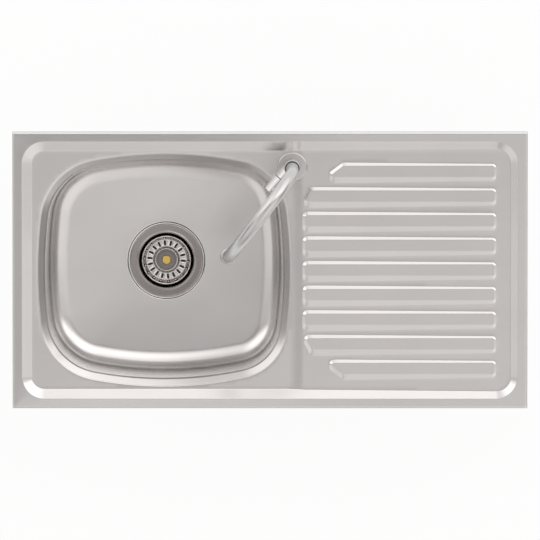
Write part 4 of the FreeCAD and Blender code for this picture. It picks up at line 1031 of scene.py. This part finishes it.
def handle_axes():
    """Directions across, up and along the handle's barrel, and a point on its axis."""
    tap = bpy.context.scene.sink_tap
    along = np.array([math.cos(tap.handle_yaw), math.sin(tap.handle_yaw), 0])
    across = np.array([-along[1], along[0], 0])
    origin = np.array([*TAP_AXIS, DECK_HEIGHT + tap.handle_height])
    return across, UP, along, origin


def handle_lathe(corners, steps=6, turns=96):
    """Surface of revolution about the barrel's axis; a corner is (radius, distance along, rounding)."""
    return turned_to(lathe(rounded(corners, steps), turns), *handle_axes())


def build_tap_body():
    """Chrome column with its side barrel, and the round foot."""
    tap = bpy.context.scene.sink_tap
    gasket_top = height_range("tap_base_gasket")[1]
    ring_top = gasket_top + tap.ring_height
    low = height_range("tap_body")[0]
    bore = tap.spout_radius + 0.08 * MM
    seat = 11.1 * MM
    column = tap_lathe(
        [
            (0.0, low, 0),
            (16.0 * MM, low, 0.3 * MM),
            (16.0 * MM, gasket_top + 3 * MM, 0.3 * MM),
            (tap.column_radius, gasket_top + 3 * MM, 0.2 * MM),
            (tap.column_radius, COLUMN_TOP, 1.1 * MM),
            (seat, COLUMN_TOP, 0.25 * MM),
            (seat, COLUMN_TOP - 2.8 * MM, 0),
            (bore, COLUMN_TOP - 2.8 * MM, 0),
            (bore, COLUMN_TOP - 14 * MM, 0),
            (0.0, COLUMN_TOP - 14 * MM, 0),
        ]
    )
    barrel = handle_lathe(
        [
            (tap.barrel_radius, 0.0, 0),
            (tap.barrel_radius, tap.barrel_length, 0.5 * MM),
            (9.8 * MM, tap.barrel_length, 0.2 * MM),
            (9.8 * MM, 10 * MM, 0),
        ]
    )
    finish_piece(piece_mesh("tap_column", [column, barrel]), "sink", "tap_chrome", "tap_body")
    ring_bore = tap.column_radius + 0.08 * MM
    foot = tap_lathe(
        [
            (16.1 * MM, gasket_top, 0),
            (tap.ring_radius, gasket_top, 0.25 * MM),
            (tap.ring_radius, ring_top - 0.2 * MM, 1.5 * MM),
            (ring_bore + 1.5 * MM, ring_top, 6 * MM),
            (ring_bore, ring_top, 0.3 * MM),
            (ring_bore, ring_top - 2 * MM, 0),
            (16.1 * MM, ring_top - 2 * MM, 0),
            (16.1 * MM, gasket_top, 0),
        ]
    )
    return finish_piece(piece_mesh("tap_foot", [foot]), "sink", "tap_chrome", "tap_base_ring")


def build_small_rings():
    """Round gasket under the foot and the black ring round the spout."""
    tap = bpy.context.scene.sink_tap
    low, high = height_range("tap_base_gasket")
    gasket = tap_lathe(
        [
            (16.1 * MM, low, 0),
            (21.6 * MM, low, 0.2 * MM),
            (21.6 * MM, high, 0.2 * MM),
            (16.1 * MM, high, 0),
            (16.1 * MM, low, 0),
        ]
    )
    finish_piece(piece_mesh("foot_gasket", [gasket]), "sink", "black_rubber", "tap_base_gasket")
    low, high = height_range("glide_ring")
    inner = tap.spout_radius + 0.08 * MM
    ring = tap_lathe(
        [
            (inner, low, 0),
            (11.0 * MM, low, 0),
            (11.0 * MM, high, 0.3 * MM),
            (inner, high, 0.3 * MM),
            (inner, low, 0),
        ]
    )
    return finish_piece(piece_mesh("black_glide_ring", [ring]), "sink", "black_plastic", "glide_ring")


def build_handle():
    """Chrome cap on the barrel and the round lever that stands on it."""
    tap = bpy.context.scene.sink_tap
    cap = handle_lathe(
        [
            (3.05 * MM, tap.cap_start + 6 * MM, 0),
            (12.9 * MM, tap.cap_start + 6 * MM, 0),
            (12.9 * MM, tap.cap_start, 0.2 * MM),
            (tap.cap_radius - 0.05 * MM, tap.cap_start, 0.5 * MM),
            (tap.cap_radius, tap.cap_end, 1.2 * MM),
            (0.0, tap.cap_end, 0),
        ],
        turns=128,
    )
    finish_piece(piece_mesh("round_cap", [cap]), "lever", "tap_chrome", "handle_cap")
    across, up, along, origin = handle_axes()
    base = origin + along * tap.lever_offset
    low = tap.lever_base
    high = tap.lever_base + tap.lever_length
    radius = tap.lever_radius
    lever = rounded(
        [
            (0.0, low - 5 * MM, 0),
            (2.5 * MM, low - 5 * MM, 0),
            (2.5 * MM, low, 0),
            (radius, low, 0.2 * MM),
            (radius, high, 1.6 * MM),
            (0.0, high, 0),
        ]
    )
    made = piece_mesh("lever_rod", [moved(lathe(lever, 64), base)])
    return finish_piece(made, "lever", "tap_chrome", "lever_pin")


def spout_axes():
    """Directions out and to the side of the spout's upright plane."""
    yaw = bpy.context.scene.sink_tap.spout_yaw
    return np.array([math.cos(yaw), math.sin(yaw), 0]), np.array([-math.sin(yaw), math.cos(yaw), 0])


def spout_line():
    """Points and headings of the spout's middle line, in its own upright plane.

    A straight riser, a quarter circle, an arc of the larger radius, and a straight tail.
    """
    tap = bpy.context.scene.sink_tap
    top_z = DECK_HEIGHT + tap.riser
    low = COLUMN_TOP - 4 * MM
    heights = np.concatenate([[low], np.linspace(low + 8 * MM, top_z - 2 * MM, 8)])
    riser = np.stack([0 * heights, heights, 0 * heights + math.pi / 2], -1)
    rear = np.linspace(0, math.pi / 2, 37)
    rear_out = tap.rear_radius * (1 - np.cos(rear))
    rear_part = np.stack([rear_out, top_z + tap.rear_radius * np.sin(rear), math.pi / 2 - rear], -1)
    front = np.linspace(0, tap.front_angle, 37)[1:]
    front_out = tap.rear_radius + tap.front_radius * np.sin(front)
    crown_z = top_z + tap.rear_radius - tap.front_radius
    front_part = np.stack([front_out, crown_z + tap.front_radius * np.cos(front), -front], -1)
    end = front_part[-1]
    ahead = np.array([math.cos(end[2]), math.sin(end[2])])
    tail = np.array([[*(end[:2] + ahead * tap.tail * share), end[2]] for share in (0.5, 1.0)])
    return np.concatenate([riser, rear_part, front_part, tail])


def build_spout():
    """Bent chrome pipe: a circle carried along the spout's middle line."""
    tap = bpy.context.scene.sink_tap
    line = spout_line()
    radius = np.full(len(line), tap.spout_radius)
    inner = tap.spout_radius - 1.2 * MM
    line = np.concatenate([line[1:2], line[:1], line, line[-1:], line[-2:-1]])
    radius = np.concatenate([[inner, inner], radius, [inner, inner]])
    out, side = spout_axes()
    heading = line[:, 2, None]
    normal = -np.sin(heading) * out + np.cos(heading) * UP
    turn = np.linspace(0, 2 * np.pi, 72, endpoint=False)[:, None]
    middle = np.array([*TAP_AXIS, 0]) + line[:, 0, None] * out + line[:, 1, None] * UP
    ring = np.cos(turn)[None] * normal[:, None] - np.sin(turn)[None] * side
    grid = middle[:, None] + radius[:, None, None] * ring
    made = piece_mesh("swan_neck", [quads(grid, close_columns=True)], merge=1e-7)
    return finish_piece(made, "spout", "tap_chrome", "spout_tube")


def build_aerator():
    """Collar at the spout's end, open below for its insert."""
    tap = bpy.context.scene.sink_tap
    end = spout_line()[-1]
    out, side = spout_axes()
    along = math.cos(end[2]) * out + math.sin(end[2]) * UP
    across = np.cross(side, along)
    origin = np.array([*TAP_AXIS, 0]) + end[0] * out + end[1] * UP
    bottom = tap.aerator_height - tap.aerator_collar
    pipe = tap.spout_radius + 0.05 * MM
    radius = tap.aerator_radius
    collar = rounded(
        [
            (10.6 * MM, 0.0, 0),
            (pipe, 0.0, 0),
            (pipe, -tap.aerator_collar, 0.15 * MM),
            (radius, -tap.aerator_collar, 1.0 * MM),
            (radius, bottom, 0.7 * MM),
            (9.4 * MM, bottom, 0.3 * MM),
            (9.4 * MM, bottom - 1.2 * MM, 0),
            (10.6 * MM, bottom - 1.2 * MM, 0),
            (10.6 * MM, 0.0, 0),
        ]
    )
    made = piece_mesh("aerator_collar", [turned_to(lathe(collar), across, side, along, origin)])
    return finish_piece(made, "spout", "tap_chrome", "aerator_housing")


# ---- Materials ----


def new_material(name):
    """A material, its node tree and its shader."""
    material = bpy.data.materials.new(name)
    material.use_nodes = True
    tree = material.node_tree
    return material, tree, tree.nodes["Principled BSDF"]


def math_node(tree, operation, *values):
    """Math node on sockets or numbers."""
    node = tree.nodes.new("ShaderNodeMath")
    node.operation = operation
    for socket, value in zip(node.inputs, values):
        if isinstance(value, (int, float)):
            socket.default_value = value
        else:
            tree.links.new(value, socket)
    return node


def object_pattern(tree, kind, scale, stretch=(1, 1, 1), **settings):
    """A procedural texture on Object coordinates, stretched by a Mapping node."""
    place = tree.nodes.new("ShaderNodeTexCoord")
    mapping = tree.nodes.new("ShaderNodeMapping")
    mapping.inputs["Scale"].default_value = stretch
    texture = tree.nodes.new(kind)
    texture.inputs["Scale"].default_value = scale
    for key, value in settings.items():
        texture.inputs[key].default_value = value
    tree.links.new(place.outputs["Object"], mapping.inputs["Vector"])
    tree.links.new(mapping.outputs["Vector"], texture.inputs["Vector"])
    return texture


def drive(tree, texture_output, low, high, target):
    """Spread a texture's 0 to 1 over a range of values into a socket."""
    spread = tree.nodes.new("ShaderNodeMapRange")
    spread.inputs["From Min"].default_value = 0.3
    spread.inputs["From Max"].default_value = 0.7
    spread.inputs["To Min"].default_value = low
    spread.inputs["To Max"].default_value = high
    tree.links.new(texture_output, spread.inputs["Value"])
    tree.links.new(spread.outputs["Result"], target)


def vary_colour(tree, texture_output, colour, change, target):
    """Mix a colour with a slightly darker one by a texture."""
    ramp = tree.nodes.new("ShaderNodeValToRGB")
    ramp.color_ramp.elements[0].position = 0.3
    ramp.color_ramp.elements[1].position = 0.7
    ramp.color_ramp.elements[0].color = (*[c * (1 - change) for c in colour], 1)
    ramp.color_ramp.elements[1].color = (*[min(1, c * (1 + change)) for c in colour], 1)
    tree.links.new(texture_output, ramp.inputs["Fac"])
    tree.links.new(ramp.outputs["Color"], target)


def add_bump(tree, shader, height_output, strength, distance):
    """Bump the surface by a texture."""
    bump = tree.nodes.new("ShaderNodeBump")
    bump.inputs["Strength"].default_value = strength
    bump.inputs["Distance"].default_value = distance
    tree.links.new(height_output, bump.inputs["Height"])
    tree.links.new(bump.outputs["Normal"], shader.inputs["Normal"])


def satin_steel(name, colour, roughness, grain):
    """Rolled stainless steel: fine lines along X in gloss and grain, soft clouds in tone."""
    material, tree, shader = new_material(name)
    shader.inputs["Metallic"].default_value = 1.0
    clouds = object_pattern(tree, "ShaderNodeTexNoise", 9.0, (1, 1.6, 1.6), Detail=4.0)
    lines = object_pattern(tree, "ShaderNodeTexNoise", 60.0, (0.6, 26, 26), Detail=3.0)
    vary_colour(tree, clouds.outputs["Fac"], colour, 0.02, shader.inputs["Base Color"])
    drive(tree, lines.outputs["Fac"], roughness * 0.9, roughness * 1.12, shader.inputs["Roughness"])
    add_bump(tree, shader, lines.outputs["Fac"], grain, 0.00002)
    return material


def steel_with_painted_throat_shade(name, colour, roughness, grain):
    """Satin steel with painted shade: darker and browner in a ring about the drain's axis, on the
    basket's steep wall, where it stands in for the wall's dark reflection.
    """
    waste = bpy.context.scene.sink_waste
    material = satin_steel(name, colour, roughness, grain)
    tree = material.node_tree
    base = tree.nodes["Principled BSDF"].inputs["Base Color"]
    clouds = base.links[0].from_socket
    place = tree.nodes.new("ShaderNodeTexCoord")
    flat = tree.nodes.new("ShaderNodeVectorMath")
    flat.operation = "MULTIPLY_ADD"
    flat.inputs[1].default_value = (1, 1, 0)
    flat.inputs[2].default_value = (-DRAIN_AXIS[0], -DRAIN_AXIS[1], 0)
    reach = tree.nodes.new("ShaderNodeVectorMath")
    reach.operation = "LENGTH"
    tree.links.new(place.outputs["Object"], flat.inputs[0])
    tree.links.new(flat.outputs["Vector"], reach.inputs[0])
    # Painted shade: a dark brown band in the colour, on the basket's wall between its floor and its
    # throat.
    ring = tree.nodes.new("ShaderNodeValToRGB")
    share = math_node(tree, "DIVIDE", reach.outputs["Value"], waste.flange_radius)
    tree.links.new(share.outputs[0], ring.inputs["Fac"])
    inner = (waste.floor_radius + 0.1 * MM) / waste.flange_radius
    outer = (waste.throat_radius + 0.2 * MM) / waste.flange_radius
    soft = 0.5 * MM / waste.flange_radius
    ring.color_ramp.elements[0].position = inner
    ring.color_ramp.elements[0].color = (1, 1, 1, 1)
    ring.color_ramp.elements[1].position = inner + soft
    ring.color_ramp.elements[1].color = (0.20, 0.17, 0.14, 1)
    for position, tone in ((outer - soft, (0.12, 0.10, 0.09, 1)), (outer, (1, 1, 1, 1))):
        ring.color_ramp.elements.new(position).color = tone
    mix = tree.nodes.new("ShaderNodeMix")
    mix.data_type = "RGBA"
    mix.blend_type = "MULTIPLY"
    mix.inputs["Factor"].default_value = 1.0
    tree.links.new(clouds, mix.inputs["A"])
    tree.links.new(ring.outputs["Color"], mix.inputs["B"])
    tree.links.new(mix.outputs["Result"], base)
    return material


def polished_chrome(name, colour):
    """Chrome plate with faint smears in its gloss."""
    material, tree, shader = new_material(name)
    shader.inputs["Metallic"].default_value = 1.0
    smears = object_pattern(tree, "ShaderNodeTexNoise", 70.0, (1, 1, 0.5), Detail=3.0)
    vary_colour(tree, smears.outputs["Fac"], colour, 0.012, shader.inputs["Base Color"])
    drive(tree, smears.outputs["Fac"], 0.27, 0.34, shader.inputs["Roughness"])
    return material


def plated_metal(name, colour, roughness, spangle):
    """Zinc or brass: cells of slightly different tone, and fine scratches."""
    material, tree, shader = new_material(name)
    shader.inputs["Metallic"].default_value = 1.0
    cells = object_pattern(tree, "ShaderNodeTexVoronoi", spangle)
    scratches = object_pattern(tree, "ShaderNodeTexNoise", 400.0, (1, 1, 3), Detail=4.0)
    vary_colour(tree, cells.outputs["Distance"], colour, 0.06, shader.inputs["Base Color"])
    drive(tree, scratches.outputs["Fac"], roughness * 0.8, roughness * 1.25, shader.inputs["Roughness"])
    add_bump(tree, shader, scratches.outputs["Fac"], 0.12, 0.00005)
    return material


def moulded(name, colour, roughness, grain_scale, grain_depth, change=0.06):
    """Plastic or rubber: a fine moulded grain and a faint change of tone."""
    material, tree, shader = new_material(name)
    tone = object_pattern(tree, "ShaderNodeTexNoise", 35.0, Detail=3.0)
    grain = object_pattern(tree, "ShaderNodeTexNoise", grain_scale, Detail=2.0)
    vary_colour(tree, tone.outputs["Fac"], colour, change, shader.inputs["Base Color"])
    drive(tree, grain.outputs["Fac"], roughness * 0.88, roughness * 1.1, shader.inputs["Roughness"])
    add_bump(tree, shader, grain.outputs["Fac"], 0.25, grain_depth)
    return material


def make_materials():
    """Every finish of the sink, by the record's slot name."""
    finish = bpy.context.scene.sink_finishes
    return {
        "sink_steel": satin_steel("satin_stainless", tuple(finish.steel), 0.24, 0.05),
        # The basket's steel has painted shade: a dark ring on its wall.
        "strainer_steel": steel_with_painted_throat_shade("polished_stainless_painted_shade", tuple(finish.waste_steel), 0.2, 0.15),
        # Painted highlight: the nubs' satin steel is brightened towards white.
        "nub_steel_painted_highlight": satin_steel("nub_stainless_painted_highlight", tuple(finish.nub_steel_painted_highlight), 0.4, 0.05),
        # Painted shade: the flange's satin steel is darkened.
        "flange_steel_painted_shade": satin_steel("flange_stainless_painted_shade", tuple(finish.flange_steel_painted_shade), 0.26, 0.1),
        "tap_chrome": polished_chrome("polished_chrome", tuple(finish.chrome)),
        "galvanised_steel": plated_metal("galvanised_steel", tuple(finish.galvanised), 0.42, 90.0),
        "zinc_fixing": plated_metal("zinc_plate", tuple(finish.zinc), 0.35, 700.0),
        "brass": plated_metal("turned_brass", tuple(finish.brass), 0.28, 900.0),
        "knob_plastic": moulded("grey_knob_plastic", tuple(finish.knob), 0.42, 1500.0, 0.00004),
        "black_rubber": moulded("black_rubber", tuple(finish.rubber), 0.62, 900.0, 0.00006, 0.15),
        "sound_pad": moulded("bitumen_mat", tuple(finish.pad), 0.75, 260.0, 0.0006, 0.2),
        "white_plastic": moulded(
            "white_polypropylene", tuple(finish.white_plastic), 0.4, 1100.0, 0.00004
        ),
        "black_plastic": moulded(
            "black_acetal", tuple(finish.black_plastic), 0.4, 1200.0, 0.00003, 0.15
        ),
        "cartridge_plastic": moulded(
            "pale_plastic", tuple(finish.pale_plastic), 0.35, 1200.0, 0.00003
        ),
    }


MATERIALS = {}


def materials():
    """The finishes, made once."""
    if not MATERIALS:
        MATERIALS.update(make_materials())
    return MATERIALS


# ---- Stage ----


FLOOR_GLOW_SHARE = 0.93


def build_stage():
    """Camera far above, and a pale floor under light from all round.

    To the camera and in mirrors the floor mostly glows, so it stays pale but keeps its shadow.
    """
    studio = bpy.context.scene.sink_studio
    scene = bpy.context.scene
    camera_data = bpy.data.cameras.new("camera")
    camera_data.sensor_width = 36.0
    camera_data.lens = 36.0 * studio.camera_distance / studio.frame_width
    camera_data.clip_end = 100.0
    camera = bpy.data.objects.new("camera", camera_data)
    tilt = studio.camera_tilt
    camera.location = (
        0.0,
        studio.camera_distance * math.sin(tilt),
        DECK_HEIGHT + studio.camera_distance * math.cos(tilt),
    )
    camera.rotation_euler = (-tilt, 0, 0)
    scene.collection.objects.link(camera)
    scene.camera = camera

    half = 6.0
    corners = [(-half, -half), (half, -half), (half, half), (-half, half)]
    mesh = bpy.data.meshes.new("floor")
    mesh.from_pydata([(x, y, studio.floor_height) for x, y in corners], [], [(0, 1, 2, 3)])
    floor = bpy.data.objects.new("floor", mesh)
    scene.collection.objects.link(floor)
    material, tree, shader = new_material("pale_floor")
    shader.inputs["Base Color"].default_value = (0.86, 0.86, 0.86, 1)
    shader.inputs["Roughness"].default_value = 0.9
    path = tree.nodes.new("ShaderNodeLightPath")
    glow = tree.nodes.new("ShaderNodeEmission")
    glow.inputs["Strength"].default_value = 1.0
    blend = tree.nodes.new("ShaderNodeMixShader")
    seen = math_node(tree, "ADD", path.outputs["Is Camera Ray"], path.outputs["Is Glossy Ray"])
    seen.use_clamp = True
    share = math_node(tree, "MULTIPLY", seen.outputs[0], FLOOR_GLOW_SHARE)
    tree.links.new(share.outputs[0], blend.inputs["Fac"])
    tree.links.new(shader.outputs["BSDF"], blend.inputs[1])
    tree.links.new(glow.outputs["Emission"], blend.inputs[2])
    tree.links.new(blend.outputs["Shader"], tree.nodes["Material Output"].inputs["Surface"])
    mesh.materials.append(material)

    build_sky(studio.world_level)
    scene.view_settings.view_transform = "Standard"


# Light round the sink, as (place, level): first from the back horizon over the top to the front
# horizon, then from the left horizon to the right one, as a share of the first.
BACK_TO_FRONT = [
    (0.0, 1.15),
    (0.08, 1.15),
    (0.185, 1.2),
    (0.28, 1.5),
    (0.37, 1.5),
    (0.42, 1.0),
    (0.46, 0.3),
    (0.49, 0.34),
    (0.525, 0.86),
    (0.65, 0.86),
    (0.84, 0.84),
    (0.93, 0.5),
    (1.0, 0.3),
]
LEFT_TO_RIGHT = [
    (0.0, 0.3),
    (0.015, 0.35),
    (0.06, 0.97),
    (0.28, 1.0),
    (0.40, 0.66),
    (0.455, 0.52),
    (0.485, 0.9),
    (0.50, 1.08),
    (0.53, 0.98),
    (0.58, 1.0),
    (0.63, 1.12),
    (0.92, 1.1),
    (0.98, 0.35),
    (1.0, 0.3),
]


def level_ramp(tree, stops, source):
    """Ramp through light levels from 0 to 2, held in the ramp as halves."""
    ramp = tree.nodes.new("ShaderNodeValToRGB")
    ramp.color_ramp.interpolation = "EASE"
    while len(ramp.color_ramp.elements) < len(stops):
        ramp.color_ramp.elements.new(0.5)
    for element, (place, _) in zip(ramp.color_ramp.elements, stops):
        element.position = place
    for element, (_, level) in zip(ramp.color_ramp.elements, stops):
        element.color = (level / 2, level / 2, level / 2, 1)
    tree.links.new(source, ramp.inputs["Fac"])
    return ramp.outputs["Color"]


def build_sky(level):
    """World light: the product of the two ramps from all round, and white to the camera.

    Place along the first ramp is the angle about the X axis, over half a turn; along the second
    it is half of X plus a half.
    """
    world = bpy.data.worlds.new("studio")
    bpy.context.scene.world = world
    world.use_nodes = True
    tree = world.node_tree
    place = tree.nodes.new("ShaderNodeTexCoord")
    split = tree.nodes.new("ShaderNodeSeparateXYZ")
    tree.links.new(place.outputs["Generated"], split.inputs[0])
    swing = math_node(tree, "ARCTAN2", split.outputs["Z"], split.outputs["Y"])
    swing = math_node(tree, "DIVIDE", swing.outputs[0], math.pi)
    across = math_node(tree, "MULTIPLY_ADD", split.outputs["X"], 0.5, 0.5)
    lengthwise = level_ramp(tree, BACK_TO_FRONT, swing.outputs[0])
    sideways = level_ramp(tree, LEFT_TO_RIGHT, across.outputs[0])
    halves = math_node(tree, "MULTIPLY", lengthwise, sideways)
    strength = math_node(tree, "MULTIPLY", halves.outputs[0], 4 * level)
    background = tree.nodes["Background"]
    background.inputs["Color"].default_value = (1.0, 0.965, 0.955, 1)
    tree.links.new(strength.outputs[0], background.inputs["Strength"])
    white = tree.nodes.new("ShaderNodeBackground")
    white.inputs["Strength"].default_value = 1.0
    path = tree.nodes.new("ShaderNodeLightPath")
    choose = tree.nodes.new("ShaderNodeMixShader")
    tree.links.new(path.outputs["Is Camera Ray"], choose.inputs["Fac"])
    tree.links.new(background.outputs["Background"], choose.inputs[1])
    tree.links.new(white.outputs["Background"], choose.inputs[2])
    tree.links.new(choose.outputs["Shader"], tree.nodes["World Output"].inputs["Surface"])


# ---- Operators ----


class SINK_OT_stage(bpy.types.Operator):
    """Make the camera, the floor and the light"""

    bl_idname = "sink.stage"
    bl_label = "Stage"

    def execute(self, context):
        build_stage()
        return {"FINISHED"}


class SINK_OT_top(bpy.types.Operator):
    """Make the pressed top with its ribs"""

    bl_idname = "sink.top"
    bl_label = "Pressed top"

    def execute(self, context):
        build_top()
        return {"FINISHED"}


class SINK_OT_bowl(bpy.types.Operator):
    """Make the bowl"""

    bl_idname = "sink.bowl"
    bl_label = "Bowl"

    def execute(self, context):
        build_bowl()
        return {"FINISHED"}


class SINK_OT_waste(bpy.types.Operator):
    """Make the waste's flange, basket, knob and housing"""

    bl_idname = "sink.waste"
    bl_label = "Basket waste"

    def execute(self, context):
        build_strainer()
        build_basket()
        build_knob()
        build_housing()
        return {"FINISHED"}


class SINK_OT_tap(bpy.types.Operator):
    """Make the tap's column, foot, handle and spout"""

    bl_idname = "sink.tap"
    bl_label = "Tap"

    def execute(self, context):
        build_tap_body()
        build_small_rings()
        build_handle()
        build_spout()
        build_aerator()
        return {"FINISHED"}


class SINK_OT_finishes(bpy.types.Operator):
    """Give every CAD node that still shows the finish of its slot"""

    bl_idname = "sink.finishes"
    bl_label = "Finishes"

    def execute(self, context):
        slots = {entry["node"]: entry["material_slot"] for entry in frame["record"]["subparts"]}
        for name, node in frame["nodes"].items():
            for slot in node.material_slots:
                slot.material = materials()[slots[name]]
        return {"FINISHED"}


class SINK_PT_panel(bpy.types.Panel):
    """Sizes, finishes and the steps that make the sink"""

    bl_label = "Kitchen sink"
    bl_idname = "SINK_PT_panel"
    bl_space_type = "VIEW_3D"
    bl_region_type = "UI"
    bl_category = "Sink"

    def draw(self, context):
        layout = self.layout
        for name in GROUPS:
            box = layout.box()
            group = getattr(context.scene, name)
            for key in group.bl_rna.properties.keys():
                if key not in {"rna_type", "name"}:
                    box.prop(group, key)
        for operator in OPERATORS:
            layout.operator(operator.bl_idname)


GROUPS = {
    "sink_top": SinkTopSizes,
    "sink_ribs": SinkRibSizes,
    "sink_bowl": SinkBowlSizes,
    "sink_waste": SinkWasteSizes,
    "sink_tap": SinkTapSizes,
    "sink_finishes": SinkFinishes,
    "sink_studio": SinkStudio,
}
OPERATORS = (SINK_OT_stage, SINK_OT_top, SINK_OT_bowl, SINK_OT_waste, SINK_OT_tap, SINK_OT_finishes)


def register():
    """Register the groups, operators and panel."""
    for name, group in GROUPS.items():
        bpy.utils.register_class(group)
        setattr(bpy.types.Scene, name, PointerProperty(type=group))
    for operator in OPERATORS:
        bpy.utils.register_class(operator)
    bpy.utils.register_class(SINK_PT_panel)


def unregister():
    """Take everything back out."""
    bpy.utils.unregister_class(SINK_PT_panel)
    for operator in reversed(OPERATORS):
        bpy.utils.unregister_class(operator)
    for name, group in reversed(GROUPS.items()):
        delattr(bpy.types.Scene, name)
        bpy.utils.unregister_class(group)


def main():
    """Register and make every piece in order."""
    register()
    bpy.ops.sink.stage()
    bpy.ops.sink.top()
    bpy.ops.sink.bowl()
    bpy.ops.sink.waste()
    bpy.ops.sink.tap()
    bpy.ops.sink.finishes()


if __name__ == "__main__":
    main()
